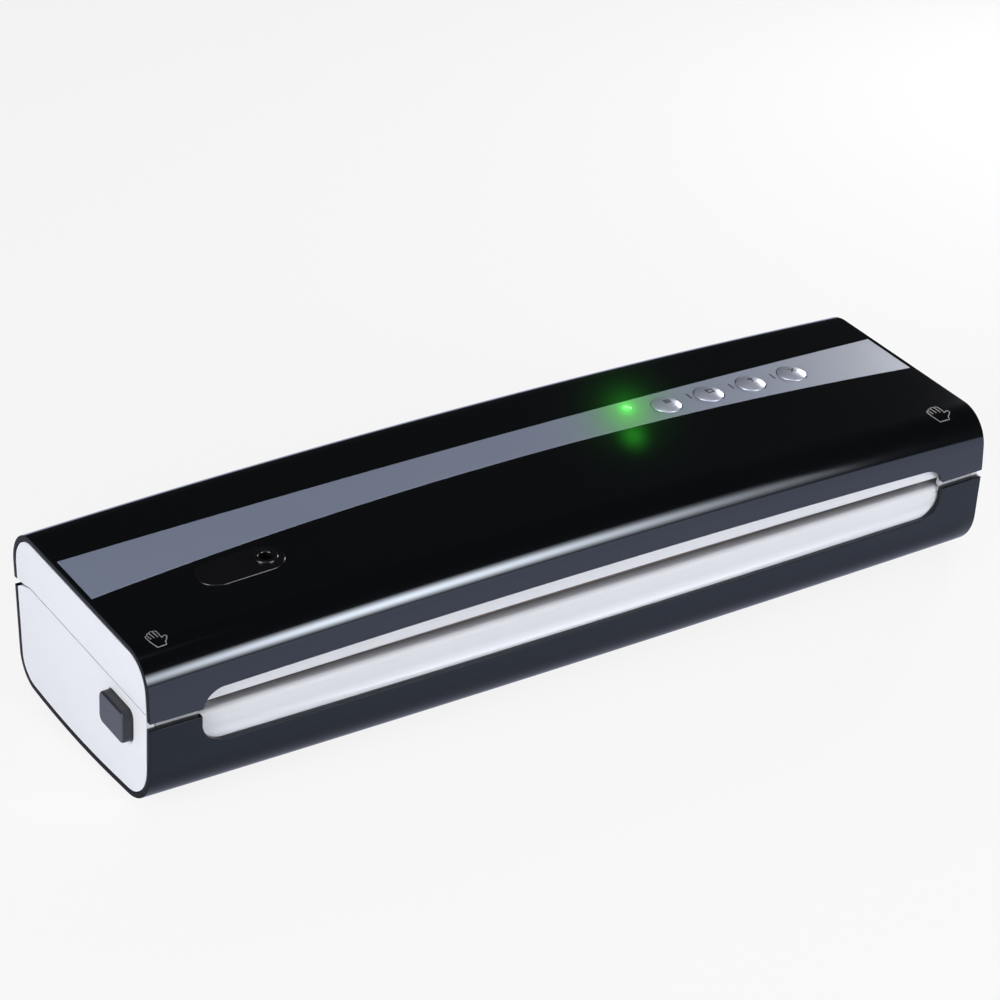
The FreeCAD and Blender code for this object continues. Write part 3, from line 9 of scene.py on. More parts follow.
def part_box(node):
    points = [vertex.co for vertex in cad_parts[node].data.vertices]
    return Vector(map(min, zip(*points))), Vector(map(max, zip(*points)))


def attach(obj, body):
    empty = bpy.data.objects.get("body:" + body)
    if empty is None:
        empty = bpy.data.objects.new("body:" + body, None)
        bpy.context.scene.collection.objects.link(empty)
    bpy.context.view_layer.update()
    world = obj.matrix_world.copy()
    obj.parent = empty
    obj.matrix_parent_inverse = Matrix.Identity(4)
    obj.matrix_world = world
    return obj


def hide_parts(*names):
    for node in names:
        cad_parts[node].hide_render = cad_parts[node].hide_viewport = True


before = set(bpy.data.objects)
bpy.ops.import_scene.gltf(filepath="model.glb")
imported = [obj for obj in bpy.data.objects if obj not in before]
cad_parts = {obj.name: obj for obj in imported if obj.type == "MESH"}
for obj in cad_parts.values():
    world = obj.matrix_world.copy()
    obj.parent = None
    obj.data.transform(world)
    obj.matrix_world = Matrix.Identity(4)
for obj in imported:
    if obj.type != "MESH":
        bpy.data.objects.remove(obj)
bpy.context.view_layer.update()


# -----
# Base shell. The black cover that wraps under the body, injection moulded in glossy plastic with
# a 2.2 mm wall. Its front is cut out for the bag mouth and its rim carries a small round.
MM = 0.001
BODY_HALF = 182.5
BODY_BACK = 53.55
END_FRONT = -51.65
FRONT_BOW = 1.9
TOP_CROWN = 4.2
LID_FRONT_HEIGHT = 61.7
SEAM_FRONT_HEIGHT = 40.5
SEAM_TILT = math.radians(5.5)
LEAN = math.tan(SEAM_TILT)
UNDERSIDE = 1.2
SHELL_WALL = 2.2
SHELL_RIM = 0.18
ROUND_STEPS, RIM_STEPS, INNER_STEPS = 48, 5, 60
WELD = 2e-7
BASE_FRONT_TUCK, BASE_FRONT_ROUND = 3.9, 18.4
FRONT_BEND_HEIGHT, FRONT_BEND_ROUND = 40.0, 40.0
LID_FRONT_ROUND, LID_BACK_ROUND = 14.3, 15.3
HEEL_HEIGHT, HEEL_ROUND = 6.8, 12.5
BELLY_Y, BELLY_ROUND = 12.6, 370.0
BASE_RIM_DROP = 5.0
BASE_MOUTH_HALF = 162.6
BASE_MOUTH_FLOOR = 23.4
BASE_MOUTH_CORNER = 9.0
SQUARE = ((-1, -1), (1, -1), (1, 1), (-1, 1))


def bow(x):
    """Share of the body's lengthwise bow at x: 1 in the middle, 0 at the ends."""
    return 1 - (x / BODY_HALF) ** 2


def front_at(x):
    return END_FRONT - FRONT_BOW * bow(x)


def body_corners(x):
    """Corners of the end view at x: place, round, and how far the corner slips per step along x."""
    front = front_at(x)
    fall = -2 * x / BODY_HALF ** 2
    front_slip = -FRONT_BOW * fall
    top_slip = TOP_CROWN * fall
    front_top = LID_FRONT_HEIGHT + TOP_CROWN * bow(x) + (front - END_FRONT) * LEAN
    back_top = LID_FRONT_HEIGHT + TOP_CROWN * bow(x) + (BODY_BACK - END_FRONT) * LEAN
    return [
        ((front + BASE_FRONT_TUCK, UNDERSIDE), BASE_FRONT_ROUND, (front_slip, 0.0)),
        ((front, FRONT_BEND_HEIGHT), FRONT_BEND_ROUND, (front_slip, 0.0)),
        ((front, front_top), LID_FRONT_ROUND, (front_slip, top_slip + LEAN * front_slip)),
        ((BODY_BACK, back_top), LID_BACK_ROUND, (0.0, top_slip)),
        ((BODY_BACK, UNDERSIDE + HEEL_HEIGHT), HEEL_ROUND, (0.0, 0.0)),
        ((BELLY_Y, UNDERSIDE), BELLY_ROUND, (0.0, 0.0)),
    ]


class Outline:
    """The body's end view at one x, as points along its length s, twice round."""

    def __init__(self, x):
        corners = body_corners(x)
        count = len(corners)
        spots = [np.array(corner[0]) for corner in corners]
        ways = []
        for i in range(count):
            way = spots[(i + 1) % count] - spots[i]
            ways.append(way / np.linalg.norm(way))
        rows = []
        self.marks = []
        for i, (spot, radius, slip) in enumerate(corners):
            before = ways[i - 1]
            turn = math.acos(float(np.dot(before, ways[i])))
            centre = spots[i] - before * radius * math.tan(turn / 2)
            centre = centre + radius * np.array([before[1], -before[0]])
            angles = np.linspace(0, turn, ROUND_STEPS + 1)
            out_y = -before[1] * np.cos(angles) + before[0] * np.sin(angles)
            out_z = before[1] * np.sin(angles) + before[0] * np.cos(angles)
            first = i * (ROUND_STEPS + 1)
            self.marks.append((first, first + ROUND_STEPS))
            slips = slip[0] * out_y + slip[1] * out_z
            rows.append(np.column_stack([
                centre[0] + radius * out_y, centre[1] + radius * out_z, out_y, out_z, slips]))
        rows = np.vstack(rows)
        rows = np.vstack([rows, rows, rows[:1]])
        steps = np.hypot(np.diff(rows[:, 0]), np.diff(rows[:, 1]))
        self.s = np.concatenate([[0.0], np.cumsum(steps)])
        self.rows = rows
        self.length = self.s[-1] / 2

    def mark(self, corner, end):
        """Where a corner's round starts (end 0) or ends (end 1)."""
        return self.s[self.marks[corner][end]]

    def at(self, s):
        """y, z, outward y, outward z and slip at each s."""
        return np.column_stack([np.interp(s, self.s, self.rows[:, i]) for i in range(5)])

    def front_s(self, z):
        low, high = self.marks[0][0], self.marks[2][1]
        return float(np.interp(z, self.rows[low:high, 1], self.s[low:high]))

    def back_s(self, z):
        low, high = self.marks[3][1], self.marks[4][0] + 1
        return float(np.interp(z, self.rows[low:high, 1][::-1], self.s[low:high][::-1]))

    def top_s(self, y):
        low, high = self.marks[2][0], self.marks[3][0] + 1
        return float(np.interp(y, self.rows[low:high, 0], self.s[low:high]))


def wall_ring(line, start, end, run, wall, rim, inset):
    """Ring round a wall's section: run gives the outer face as rows of s and depth, rims are round."""
    angles = np.linspace(0, math.pi / 2, RIM_STEPS)
    sink = rim * (1 - np.cos(angles))
    pull = rim * (1 - np.sin(angles))
    deep = wall - inset
    rows = [
        np.column_stack([start + pull, deep - sink]),
        np.column_stack([start + pull, inset + sink])[::-1],
        np.column_stack([run[:, 0], run[:, 1] + inset]),
        np.column_stack([end - pull, inset + sink]),
        np.column_stack([end - pull, deep - sink])[::-1],
    ]
    inner = np.linspace(end - rim, start + rim, INNER_STEPS)[1:-1]
    rows.append(np.column_stack([inner, np.full(len(inner), deep)]))
    rows = np.vstack(rows)
    spots = line.at(rows[:, 0])
    return np.column_stack([
        spots[:, 0] - spots[:, 2] * rows[:, 1], spots[:, 1] - spots[:, 3] * rows[:, 1]])


def placed(name, data):
    """Object of the given data, linked into the scene."""
    thing = bpy.data.objects.new(name, data)
    bpy.context.scene.collection.objects.link(thing)
    return thing


def new_piece(name, vertices, faces):
    """Mesh object from millimetre points, with doubled points joined and faces turned outwards."""
    mesh = bpy.data.meshes.new(name)
    mesh.from_pydata([tuple(float(c) * MM for c in v) for v in vertices], [], faces)
    tidy = bmesh.new()
    tidy.from_mesh(mesh)
    bmesh.ops.remove_doubles(tidy, verts=tidy.verts, dist=WELD)
    bmesh.ops.recalc_face_normals(tidy, faces=tidy.faces)
    tidy.to_mesh(mesh)
    tidy.free()
    return placed(name, mesh)


def ring_faces(rings, count):
    """Faces between like rings of count points each, closed at both ends."""
    faces = []
    for i in range(rings - 1):
        for j in range(count):
            k = (j + 1) % count
            faces.append((i * count + j, i * count + k, (i + 1) * count + k, (i + 1) * count + j))
    return faces + [tuple(range(count)), tuple(range((rings - 1) * count, rings * count))]


def sweep(name, stations, ring):
    """Closed piece made of like rings along x; each station is an x and how far the ring draws in."""
    vertices = []
    for x, inset in stations:
        points = ring(x, inset)
        vertices += [(x, y, z) for y, z in points]
    return new_piece(name, vertices, ring_faces(len(stations), len(points)))


def end_rounded(places, half, rim):
    """Stations at the places and round both ends at half."""
    angles = np.linspace(0, math.pi / 2, RIM_STEPS)
    close = [(half - rim * (1 - math.sin(a)), rim * (1 - math.cos(a))) for a in angles]
    inner = [(x, 0.0) for x in sorted(places) if abs(x) < half - rim - 0.01]
    return [(-x, inset) for x, inset in reversed(close)] + inner + close


def shade(piece, crease=40.0):
    """Smooth shading that breaks at edges sharper than crease degrees."""
    mesh = piece.data
    mesh.polygons.foreach_set("use_smooth", [True] * len(mesh.polygons))
    mesh.set_sharp_from_angle(angle=math.radians(crease))


def shade_body(piece, crease=35.0, reach=0.02, lean=14.0):
    """Shading of the outer face from the body's own outline, so that gloss runs without waves: for
    points within reach mm of it, on faces that lean less than lean degrees from it."""
    mesh = piece.data
    shade(piece, crease)
    spots = np.empty(len(mesh.vertices) * 3)
    mesh.vertices.foreach_get("co", spots)
    spots = spots.reshape(-1, 3) / MM
    exact = np.zeros((len(spots), 3))
    keys = np.round(spots[:, 0], 3)
    order = np.argsort(keys, kind="stable")
    breaks = np.flatnonzero(np.diff(keys[order])) + 1
    for group in np.split(order, breaks):
        line = Outline(float(keys[group[0]]))
        half = len(line.rows) // 2 + 1
        start, end = line.rows[:half - 1], line.rows[1:half]
        way = end[:, :2] - start[:, :2]
        long = np.maximum((way ** 2).sum(1), 1e-12)
        for index in group:
            gap = spots[index, 1:] - start[:, :2]
            share = np.clip((gap * way).sum(1) / long, 0, 1)
            off = np.hypot(*(gap - way * share[:, None]).T)
            best = int(np.argmin(off))
            if off[best] < reach:
                row = start[best] + (end[best] - start[best]) * share[best]
                normal = np.array([-row[4], row[2], row[3]])
                exact[index] = normal / np.linalg.norm(normal)
    normals = []
    limit = math.cos(math.radians(lean))
    for face in mesh.polygons:
        for corner in face.vertices:
            normal = exact[corner]
            fits = normal.any() and float(np.dot(normal, face.normal)) > limit
            normals.append(tuple(normal) if fits else (0.0, 0.0, 0.0))
    mesh.normals_split_custom_set(normals)


def ink_ends(piece, material, depth=0.4, lean=0.45):
    """Gives the end faces of a shell, within depth mm of its ends, a material of their own."""
    piece.data.materials.append(material)
    for face in piece.data.polygons:
        if abs(face.normal.x) > lean and abs(face.center.x) > (BODY_HALF - depth) * MM:
            face.material_index = 1


def cut_from(piece, cutters):
    """Cuts each cutter out of a piece and deletes it."""
    for cutter in cutters:
        cut = piece.modifiers.new(cutter.name, "BOOLEAN")
        cut.operation = "DIFFERENCE"
        cut.solver = "EXACT"
        cut.object = cutter
    bpy.context.view_layer.update()
    depsgraph = bpy.context.evaluated_depsgraph_get()
    result = bpy.data.meshes.new_from_object(piece.evaluated_get(depsgraph))
    piece.modifiers.clear()
    piece.data = result
    for cutter in cutters:
        bpy.data.objects.remove(cutter)


def prism(name, place, outline, low, high):
    """Straight piece with the given (x, y) outline along the local z of a place."""
    count = len(outline)
    vertices = []
    for z in (low, high):
        vertices += [tuple(place @ Vector((x, y, z))) for x, y in outline]
    faces = [tuple(range(count)), tuple(range(count, 2 * count))]
    for i in range(count):
        j = (i + 1) % count
        faces.append((i, j, count + j, count + i))
    return new_piece(name, vertices, faces)


def stadium(half, radius, steps):
    """Oblong outline with round ends."""
    right = np.linspace(-math.pi / 2, math.pi / 2, steps)
    points = [(half + radius * math.cos(a), radius * math.sin(a)) for a in right]
    return points + [(-x, -y) for x, y in points]


def seam_height(y):
    return SEAM_FRONT_HEIGHT + (y - END_FRONT) * LEAN


def mouth_edge(x, half, level, corner, way, rest, arch=0.0):
    """Height of a shell's front edge at x: the mouth's level with round corners, or the plain edge."""
    if abs(x) >= half:
        return rest
    past = abs(x) - (half - corner)
    if past <= 0:
        return level + arch * (1 - (x / (half - corner)) ** 2)
    edge = level + way * (corner - math.sqrt(corner ** 2 - past ** 2))
    return min(edge, rest) if way > 0 else max(edge, rest)


def stepped(stops, end):
    """Rows of s and depth for a wall: each stop is an s, the steps to the next one and the depth."""
    rows = []
    for (low, steps, deep), high in zip(stops, [stop[0] for stop in stops[1:]] + [end]):
        rows.append(np.column_stack([
            np.linspace(low, high, steps, endpoint=False), np.full(steps, deep)]))
    return np.vstack(rows + [np.array([[end, 0.0]])])


def base_ring(x, inset):
    line = Outline(x)
    drop = BASE_RIM_DROP / math.cos(SEAM_TILT)
    edge = mouth_edge(
        x, BASE_MOUTH_HALF, BASE_MOUTH_FLOOR, BASE_MOUTH_CORNER, 1, seam_height(front_at(x)) - drop)
    start = line.back_s(seam_height(BODY_BACK) - drop) + inset
    end = line.front_s(edge) + line.length - inset
    run = stepped([
        (start + SHELL_RIM, 8, 0.0), (line.mark(4, 0), 14, 0.0), (line.mark(4, 1), 2, 0.0),
        (line.mark(5, 0), 14, 0.0), (line.mark(5, 1), 4, 0.0), (line.mark(0, 0) + line.length, 18, 0.0),
        (line.mark(0, 1) + line.length, 14, 0.0)], end - SHELL_RIM)
    return wall_ring(line, start, end, run, SHELL_WALL, SHELL_RIM, inset)


def mouth_places(half, corner):
    """Places along x that follow a mouth's round corners closely."""
    turn = np.linspace(0, math.pi / 2, 19)
    bend = [half - corner + corner * math.sin(a) for a in turn] + [half + 0.02, half + 0.6]
    return bend + [-x for x in bend]


base_places = list(np.linspace(-180, 180, 97)) + mouth_places(BASE_MOUTH_HALF, BASE_MOUTH_CORNER)
base_shell = sweep("base_cover", end_rounded(base_places, BODY_HALF, SHELL_RIM), base_ring)

BASE_SCREWS = [(x, y) for x in (-125.0, 0.0, 125.0) for y in (-27.0, 4.0)]
BASE_SCREW_SEATS = {-27.0: 2.4, 4.0: 3.05}
FEET = [(x, y) for x in (-150.0, 150.0) for y in (-26.0, 30.0)]
FOOT_SEATS = {-26.0: 2.4, 30.0: 5.0}
SCREW_HEAD, SCREW_SHANK, SCREW_DEPTH = 3.2, 1.6, 9.0
FOOT_SEAT = 6.2
SEAT_FOOT = -1.0
INLET_X, INLET_Z = -110.0, 28.0
INLET_HALF_WIDTH, INLET_HALF_HEIGHT = 9.7, 6.2
CLEAR = 8.0


def circle(radius, steps):
    turns = np.linspace(0, 2 * math.pi, steps, endpoint=False)
    return [(radius * math.cos(a), radius * math.sin(a)) for a in turns]


seats = []
for x, y in BASE_SCREWS:
    place = Matrix.Translation((x, y, 0))
    seats.append(prism("screw_seat", place, circle(SCREW_HEAD, 32), SEAT_FOOT, BASE_SCREW_SEATS[y]))
    seats.append(prism("screw_hole", place, circle(SCREW_SHANK, 24), SEAT_FOOT, SCREW_DEPTH))
for x, y in FEET:
    place = Matrix.Translation((x, y, 0))
    seats.append(prism("foot_seat", place, circle(FOOT_SEAT, 48), SEAT_FOOT, FOOT_SEATS[y]))
to_back = Matrix.Translation((INLET_X, BODY_BACK, INLET_Z)) @ Matrix.Rotation(math.pi / 2, 4, "X")
inlet_hole = [(x * INLET_HALF_WIDTH, y * INLET_HALF_HEIGHT) for x, y in SQUARE]
seats.append(prism("inlet_hole", to_back, inlet_hole, -CLEAR, CLEAR))
cut_from(base_shell, seats)
shade_body(base_shell)


def give(node, **values):
    """Sets a node's inputs by name, with _ for a space."""
    for label, value in values.items():
        node.inputs[label.replace("_", " ")].default_value = value


def new_material(name, **values):
    """Material with the given inputs of its shader; also its node tree and the shader."""
    material = bpy.data.materials.new(name)
    material.use_nodes = True
    shader = material.node_tree.nodes["Principled BSDF"]
    give(shader, **values)
    return material, material.node_tree, shader


def add_node(tree, kind, operation=None, second=None, **values):
    """Shader node with its operation, its second operand and its inputs."""
    node = tree.nodes.new("ShaderNode" + kind)
    if operation:
        node.operation = operation
    if second is not None:
        node.inputs[1].default_value = second
    give(node, **values)
    return node


def wire(tree, *runs):
    """Links nodes: each run is a node, its output, the node that takes it and the input there."""
    for source, out, target, into in runs:
        tree.links.new(source.outputs[out], target.inputs[into])


def over_piece(tree, *targets):
    """Gives textures the place on the piece that carries the material."""
    spot = add_node(tree, "TexCoord")
    wire(tree, *((spot, "Object", target, "Vector") for target in targets))


def two_tones(tree, first, last):
    """Mix of two colours: the first at 0, the last at 1."""
    mix = add_node(tree, "Mix")
    mix.data_type = "RGBA"
    mix.inputs[6].default_value = (*first, 1)
    mix.inputs[7].default_value = (*last, 1)
    return mix


def tone_and_relief(tree, shader, source, outs, tones, strength, depth):
    """Colour and bump of a finish: from the source's two outs, with the relief's depth in mm."""
    tone = two_tones(tree, *tones)
    bump = add_node(tree, "Bump", Strength=strength, Distance=depth * MM)
    wire(
        tree, (source, outs[0], tone, 0), (tone, 2, shader, "Base Color"),
        (source, outs[1], bump, "Height"), (bump, "Normal", shader, "Normal"))


def new_group(name, inputs, **outputs):
    """Node group with number inputs and the given kinds of outputs; also its two end nodes."""
    group = bpy.data.node_groups.new(name, "ShaderNodeTree")
    for label in inputs:
        group.interface.new_socket(label, in_out="INPUT", socket_type="NodeSocketFloat")
    for label, kind in outputs.items():
        group.interface.new_socket(label, in_out="OUTPUT", socket_type="NodeSocket" + kind)
    return group, group.nodes.new("NodeGroupInput"), group.nodes.new("NodeGroupOutput")


def use_group(tree, group, **values):
    node = add_node(tree, "Group")
    node.node_tree = group
    give(node, **values)
    return node


def moulded_skin_group():
    """Skin of a moulding: slow drift of tone, wandering gloss and the fine waviness of its surface."""
    group, given, made = new_group(
        "moulded_skin", ("Grain", "Roughness", "Wander"), Tone="Float", Roughness="Float", Height="Float")
    drift = add_node(group, "TexNoise", Scale=22.0, Detail=3.0)
    grain = add_node(group, "TexNoise", Detail=2.0)
    centred = add_node(group, "Math", "SUBTRACT", 0.5)
    spread = add_node(group, "Math", "MULTIPLY_ADD")
    over_piece(group, drift, grain)
    wire(
        group, (given, "Grain", grain, "Scale"), (drift, "Fac", centred, 0), (centred, 0, spread, 0),
        (given, "Wander", spread, 1), (given, "Roughness", spread, 2), (drift, "Fac", made, "Tone"),
        (spread, 0, made, "Roughness"), (grain, "Fac", made, "Height"))
    return group


moulded_skin = moulded_skin_group()


def moulding(name, dark, light, roughness, wander, grain, wave, specular=0.5, **more):
    """Moulded plastic or rubber: two close tones, its gloss, and grain of the given fineness."""
    material, tree, shader = new_material(name, Specular_IOR_Level=specular, **more)
    skin = use_group(tree, moulded_skin, Grain=grain, Roughness=roughness, Wander=wander)
    tone_and_relief(tree, shader, skin, ("Tone", "Height"), (dark, light), 0.35, wave)
    wire(tree, (skin, "Roughness", shader, "Roughness"))
    return material


gloss_black = moulding(
    "gloss_black", (0.0020, 0.0023, 0.0029), (0.0028, 0.0031, 0.0038), 0.14, 0.04, 260.0, 0.004, 0.38,
    Specular_Tint=(0.76, 0.88, 1.0, 1))
edge_black = moulding(
    "edge_black", (0.003, 0.003, 0.004), (0.004, 0.004, 0.005), 0.45, 0.06, 600.0, 0.02, 0.10)
base_shell.data.materials.append(gloss_black)
ink_ends(base_shell, edge_black)
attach(base_shell, "base")
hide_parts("base_shell")


# -----
# Feet and base screws. Four turned pads of soft black rubber glued into seats under the base, and
# six zinc plated screws that hold the deck to the shell from below.
def finish(material, *names):
    """Gives CAD nodes a material."""
    for name in names:
        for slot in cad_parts[name].material_slots:
            slot.material = material


def lathe(name, place, profile, steps):
    """Turned piece: profile is (radius, height) from the foot's middle up to the crown's middle."""
    vertices, faces, rows = [], [], []
    for radius, height in profile:
        if radius < 1e-6:
            rows.append([len(vertices)] * steps)
            vertices.append(tuple(place @ Vector((0, 0, height))))
        else:
            rows.append(list(range(len(vertices), len(vertices) + steps)))
            for x, y in circle(radius, steps):
                vertices.append(tuple(place @ Vector((x, y, height))))
    for low, high in zip(rows[:-1], rows[1:]):
        for i in range(steps):
            j = (i + 1) % steps
            face = []
            for corner in (low[i], low[j], high[j], high[i]):
                if corner not in face:
                    face.append(corner)
            if len(face) > 2:
                faces.append(tuple(face))
    return new_piece(name, vertices, faces)


def joined(name, pieces):
    """Several meshes as one piece."""
    together = bmesh.new()
    for piece in pieces:
        together.from_mesh(piece.data)
        bpy.data.objects.remove(piece)
    mesh = bpy.data.meshes.new(name)
    together.to_mesh(mesh)
    together.free()
    return placed(name, mesh)


rubber_black = moulding(
    "rubber_black", (0.010, 0.010, 0.011), (0.018, 0.018, 0.019), 0.72, 0.10, 1500.0, 0.05)
PAD_RADIUS, PAD_BEVEL = 6.0, 0.2
PAD_FOOT = [(0, 0.25), (3.6, 0.25), (4.0, 0.0), (5.5, 0.0), (5.85, 0.12), (PAD_RADIUS, 0.5)]
pads = []
for x, y in FEET:
    top = FOOT_SEATS[y]
    pad_profile = PAD_FOOT + [(PAD_RADIUS, top - PAD_BEVEL), (PAD_RADIUS - PAD_BEVEL, top), (0, top)]
    pads.append(lathe("pad", Matrix.Translation((x, y, 0)), pad_profile, 48))
feet = joined("rubber_feet", pads)
shade(feet)
feet.data.materials.append(rubber_black)
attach(feet, "base")
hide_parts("feet")


def brushed_metal(name, dark, light, roughness, streak):
    """Rolled or drawn metal: fine streaks along x in tone and gloss."""
    material, tree, shader = new_material(name, Metallic=1.0)
    stretch = add_node(tree, "Mapping", Scale=(1.0, streak, streak))
    streaks = add_node(tree, "TexNoise", Scale=60.0, Detail=5.0)
    tone = two_tones(tree, dark, light)
    gloss = add_node(tree, "MapRange", To_Min=roughness - 0.08, To_Max=roughness + 0.08)
    over_piece(tree, stretch)
    wire(
        tree, (stretch, "Vector", streaks, "Vector"), (streaks, "Fac", tone, 0),
        (streaks, "Fac", gloss, "Value"), (tone, 2, shader, "Base Color"),
        (gloss, "Result", shader, "Roughness"))
    return material


zinc_steel = brushed_metal("zinc_steel", (0.42, 0.43, 0.45), (0.62, 0.63, 0.65), 0.32, 14.0)
finish(zinc_steel, "base_screws")


# -----
# Mains board. A green glass fibre board on posts in the base, with an iron cored transformer, a
# relay and a sleeved capacitor soldered to it.
def circuit_board(name):
    """Solder resist over copper runs that shine through as a lighter green."""
    material, tree, shader = new_material(name, Coat_Roughness=0.15, Coat_Weight=0.3)
    runs = add_node(
        tree, "TexBrick", Scale=150.0, Mortar_Size=0.03, Color1=(0.006, 0.085, 0.030, 1),
        Color2=(0.008, 0.105, 0.038, 1), Mortar=(0.020, 0.190, 0.070, 1))
    weave = add_node(tree, "TexNoise", Scale=700.0)
    gloss = add_node(tree, "MapRange", To_Min=0.35, To_Max=0.55)
    over_piece(tree, runs, weave)
    wire(
        tree, (weave, "Fac", gloss, "Value"), (runs, "Color", shader, "Base Color"),
        (gloss, "Result", shader, "Roughness"))
    return material


def banded(name, dark, light, spacing, axis, roughness, metallic):
    """Stacked layers or wound turns: lines across one axis, spacing mm apart, with a little depth."""
    material, tree, shader = new_material(name, Metallic=metallic, Roughness=roughness)
    lines = add_node(tree, "TexWave", Scale=1000.0 / (spacing * 20), Distortion=0.6)
    lines.bands_direction = axis
    over_piece(tree, lines)
    tone_and_relief(tree, shader, lines, ("Fac", "Fac"), (dark, light), 0.5, 0.1)
    return material


board_green = circuit_board("board_green")
core_iron = banded("core_iron", (0.030, 0.028, 0.026), (0.085, 0.080, 0.075), 0.5, "Y", 0.55, 0.8)
relay_blue = moulding("relay_blue", (0.010, 0.045, 0.150), (0.014, 0.060, 0.190), 0.38, 0.06, 1200.0, 0.02)
can_sleeve = moulding("can_sleeve", (0.012, 0.016, 0.030), (0.020, 0.026, 0.046), 0.30, 0.06, 500.0, 0.02)
finish(board_green, "main_board")
finish(core_iron, "transformer")
finish(relay_blue, "relay")
finish(can_sleeve, "capacitor")


# -----
# Pump. A small motor in a steel can on a bent sheet bracket drives a diaphragm head through an
# eccentric; the bracket sits on rubber grommets and a clear hose leads to the vacuum trough.
inner_black = moulding("inner_black", (0.014, 0.014, 0.015), (0.022, 0.022, 0.024), 0.48, 0.08, 900.0, 0.03)
hose_clear = moulding(
    "hose_clear", (0.46, 0.47, 0.46), (0.58, 0.59, 0.57), 0.22, 0.06, 400.0, 0.02, Transmission_Weight=0.35)
finish(zinc_steel, "pump_motor", "motor_rotor", "pump_bracket")
finish(inner_black, "pump_head")
finish(rubber_black, "pump_grommets")
finish(hose_clear, "suction_hose")


# -----
# Mains inlet. A two pin socket in black heat resistant plastic, snapped into the back of the base,
# with brass pins.
pin_brass = brushed_metal("pin_brass", (0.52, 0.36, 0.13), (0.66, 0.48, 0.20), 0.28, 10.0)
finish(inner_black, "power_inlet")
finish(pin_brass, "inlet_pins")


# -----
# Base deck. The white inner moulding of the base in satin plastic: its scooped front is the lower
# lip of the mouth, a trough in its middle draws the bag's air and lugs at the back hold the hinge.
# Painted shade: the deck's white is darkened towards brown from ambient occlusion in the mouth's gap, kept
# to the strip behind the lower lip, and a painted highlight lightens the lip's ledge.
GAP_REACH = 9.0
GAP_SHADE = (0.182, 0.56)
LIP_BACK = (-40.0 * MM, -36.0 * MM)
LIP_TOP = (33.5 * MM, 31.0 * MM)
LIP_LEDGE = (28.4 * MM, 25.4 * MM)
GAP_PAINTED_SHADE_BROWN = (0.030, 0.021, 0.015)
LEDGE_PAINTED_HIGHLIGHT = (0.905, 0.930, 1.0)
lip_white = moulding(
    "lip_white", (0.750, 0.765, 0.815), (0.775, 0.790, 0.840), 0.46, 0.06, 700.0, 0.012, 0.32)


def painted_gap_shade(name):
    """The same white with a painted highlight on the lip's ledge and painted brown shade, from ambient
    occlusion, in the gap above it.
    """
    material = lip_white.copy()
    material.name = name
    tree = material.node_tree
    tone = next(node for node in tree.nodes if node.type == "MIX")
    nearby = add_node(tree, "AmbientOcclusion", Distance=GAP_REACH * MM)
    nearby.samples = 8
    split = add_node(tree, "SeparateXYZ")
    over_piece(tree, split)
    shares = []
    for source, out, (start, end) in (
            (nearby, "AO", GAP_SHADE), (split, "Y", LIP_BACK), (split, "Z", LIP_TOP),
            (split, "Z", LIP_LEDGE)):
        shares.append(add_node(tree, "MapRange", From_Min=start, From_Max=end))
        wire(tree, (source, out, shares[-1], "Value"))
    outer, open_share = (add_node(tree, "Math", "MAXIMUM") for i in range(2))
    ledge = two_tones(tree, LEDGE_PAINTED_HIGHLIGHT, LEDGE_PAINTED_HIGHLIGHT)
    shaded = two_tones(tree, GAP_PAINTED_SHADE_BROWN, LEDGE_PAINTED_HIGHLIGHT)
    # closed is the painted shade from occlusion, back and top keep it to the gap behind the lip, low places
    # the painted ledge highlight.
    closed, back, top, low = shares
    wire(
        tree, (closed, "Result", outer, 0), (back, "Result", outer, 1), (outer, 0, open_share, 0),
        (top, "Result", open_share, 1), (low, "Result", ledge, 0), (tone, 2, ledge, 6),
        (open_share, 0, shaded, 0), (ledge, 2, shaded, 7),
        (shaded, 2, tree.nodes["Principled BSDF"], "Base Color"))
    return material


# The deck carries the painted gap shade and the painted ledge highlight.
finish(painted_gap_shade("deck_white_painted_shade"), "base_deck")


# -----
# Heater and lower gasket. A steel bar and resistance strip on the deck under woven brown non-stick
# tape, and a ring of black closed cell foam round the trough.
def woven_tape(name):
    """Coated glass cloth: two crossing sets of fine threads."""
    material, tree, shader = new_material(name, Roughness=0.38)
    along, across = (add_node(tree, "TexWave", Scale=90.0) for i in range(2))
    along.bands_direction, across.bands_direction = "Y", "X"
    threads = add_node(tree, "Math", "MULTIPLY")
    over_piece(tree, along, across)
    wire(tree, (along, "Fac", threads, 0), (across, "Fac", threads, 1))
    tone_and_relief(
        tree, shader, threads, (0, 0), ((0.150, 0.072, 0.034), (0.235, 0.120, 0.062)), 0.4, 0.05)
    return material


def closed_foam(name, dark, light):
    """Foam rubber with cut cells."""
    material, tree, shader = new_material(name, Roughness=0.85)
    cells = add_node(tree, "TexVoronoi", Scale=1300.0)
    over_piece(tree, cells)
    tone_and_relief(tree, shader, cells, ("Distance", "Distance"), (dark, light), 0.6, 0.15)
    return material


gasket_foam = closed_foam("gasket_foam", (0.016, 0.016, 0.017), (0.036, 0.036, 0.038))
finish(woven_tape("tape_brown"), "heater_tape")
finish(zinc_steel, "heater_bar", "heater_strip")
finish(gasket_foam, "lower_gasket")


# -----
# Base end caps. White plates in the same satin plastic as the deck, set flush into both ends of
# the base shell, each with an opening for its release button.
cap_white = moulding(
    "cap_white", (0.775, 0.785, 0.825), (0.800, 0.810, 0.850), 0.42, 0.06, 700.0, 0.012, 0.35)
finish(cap_white, "base_cap_left", "base_cap_right")


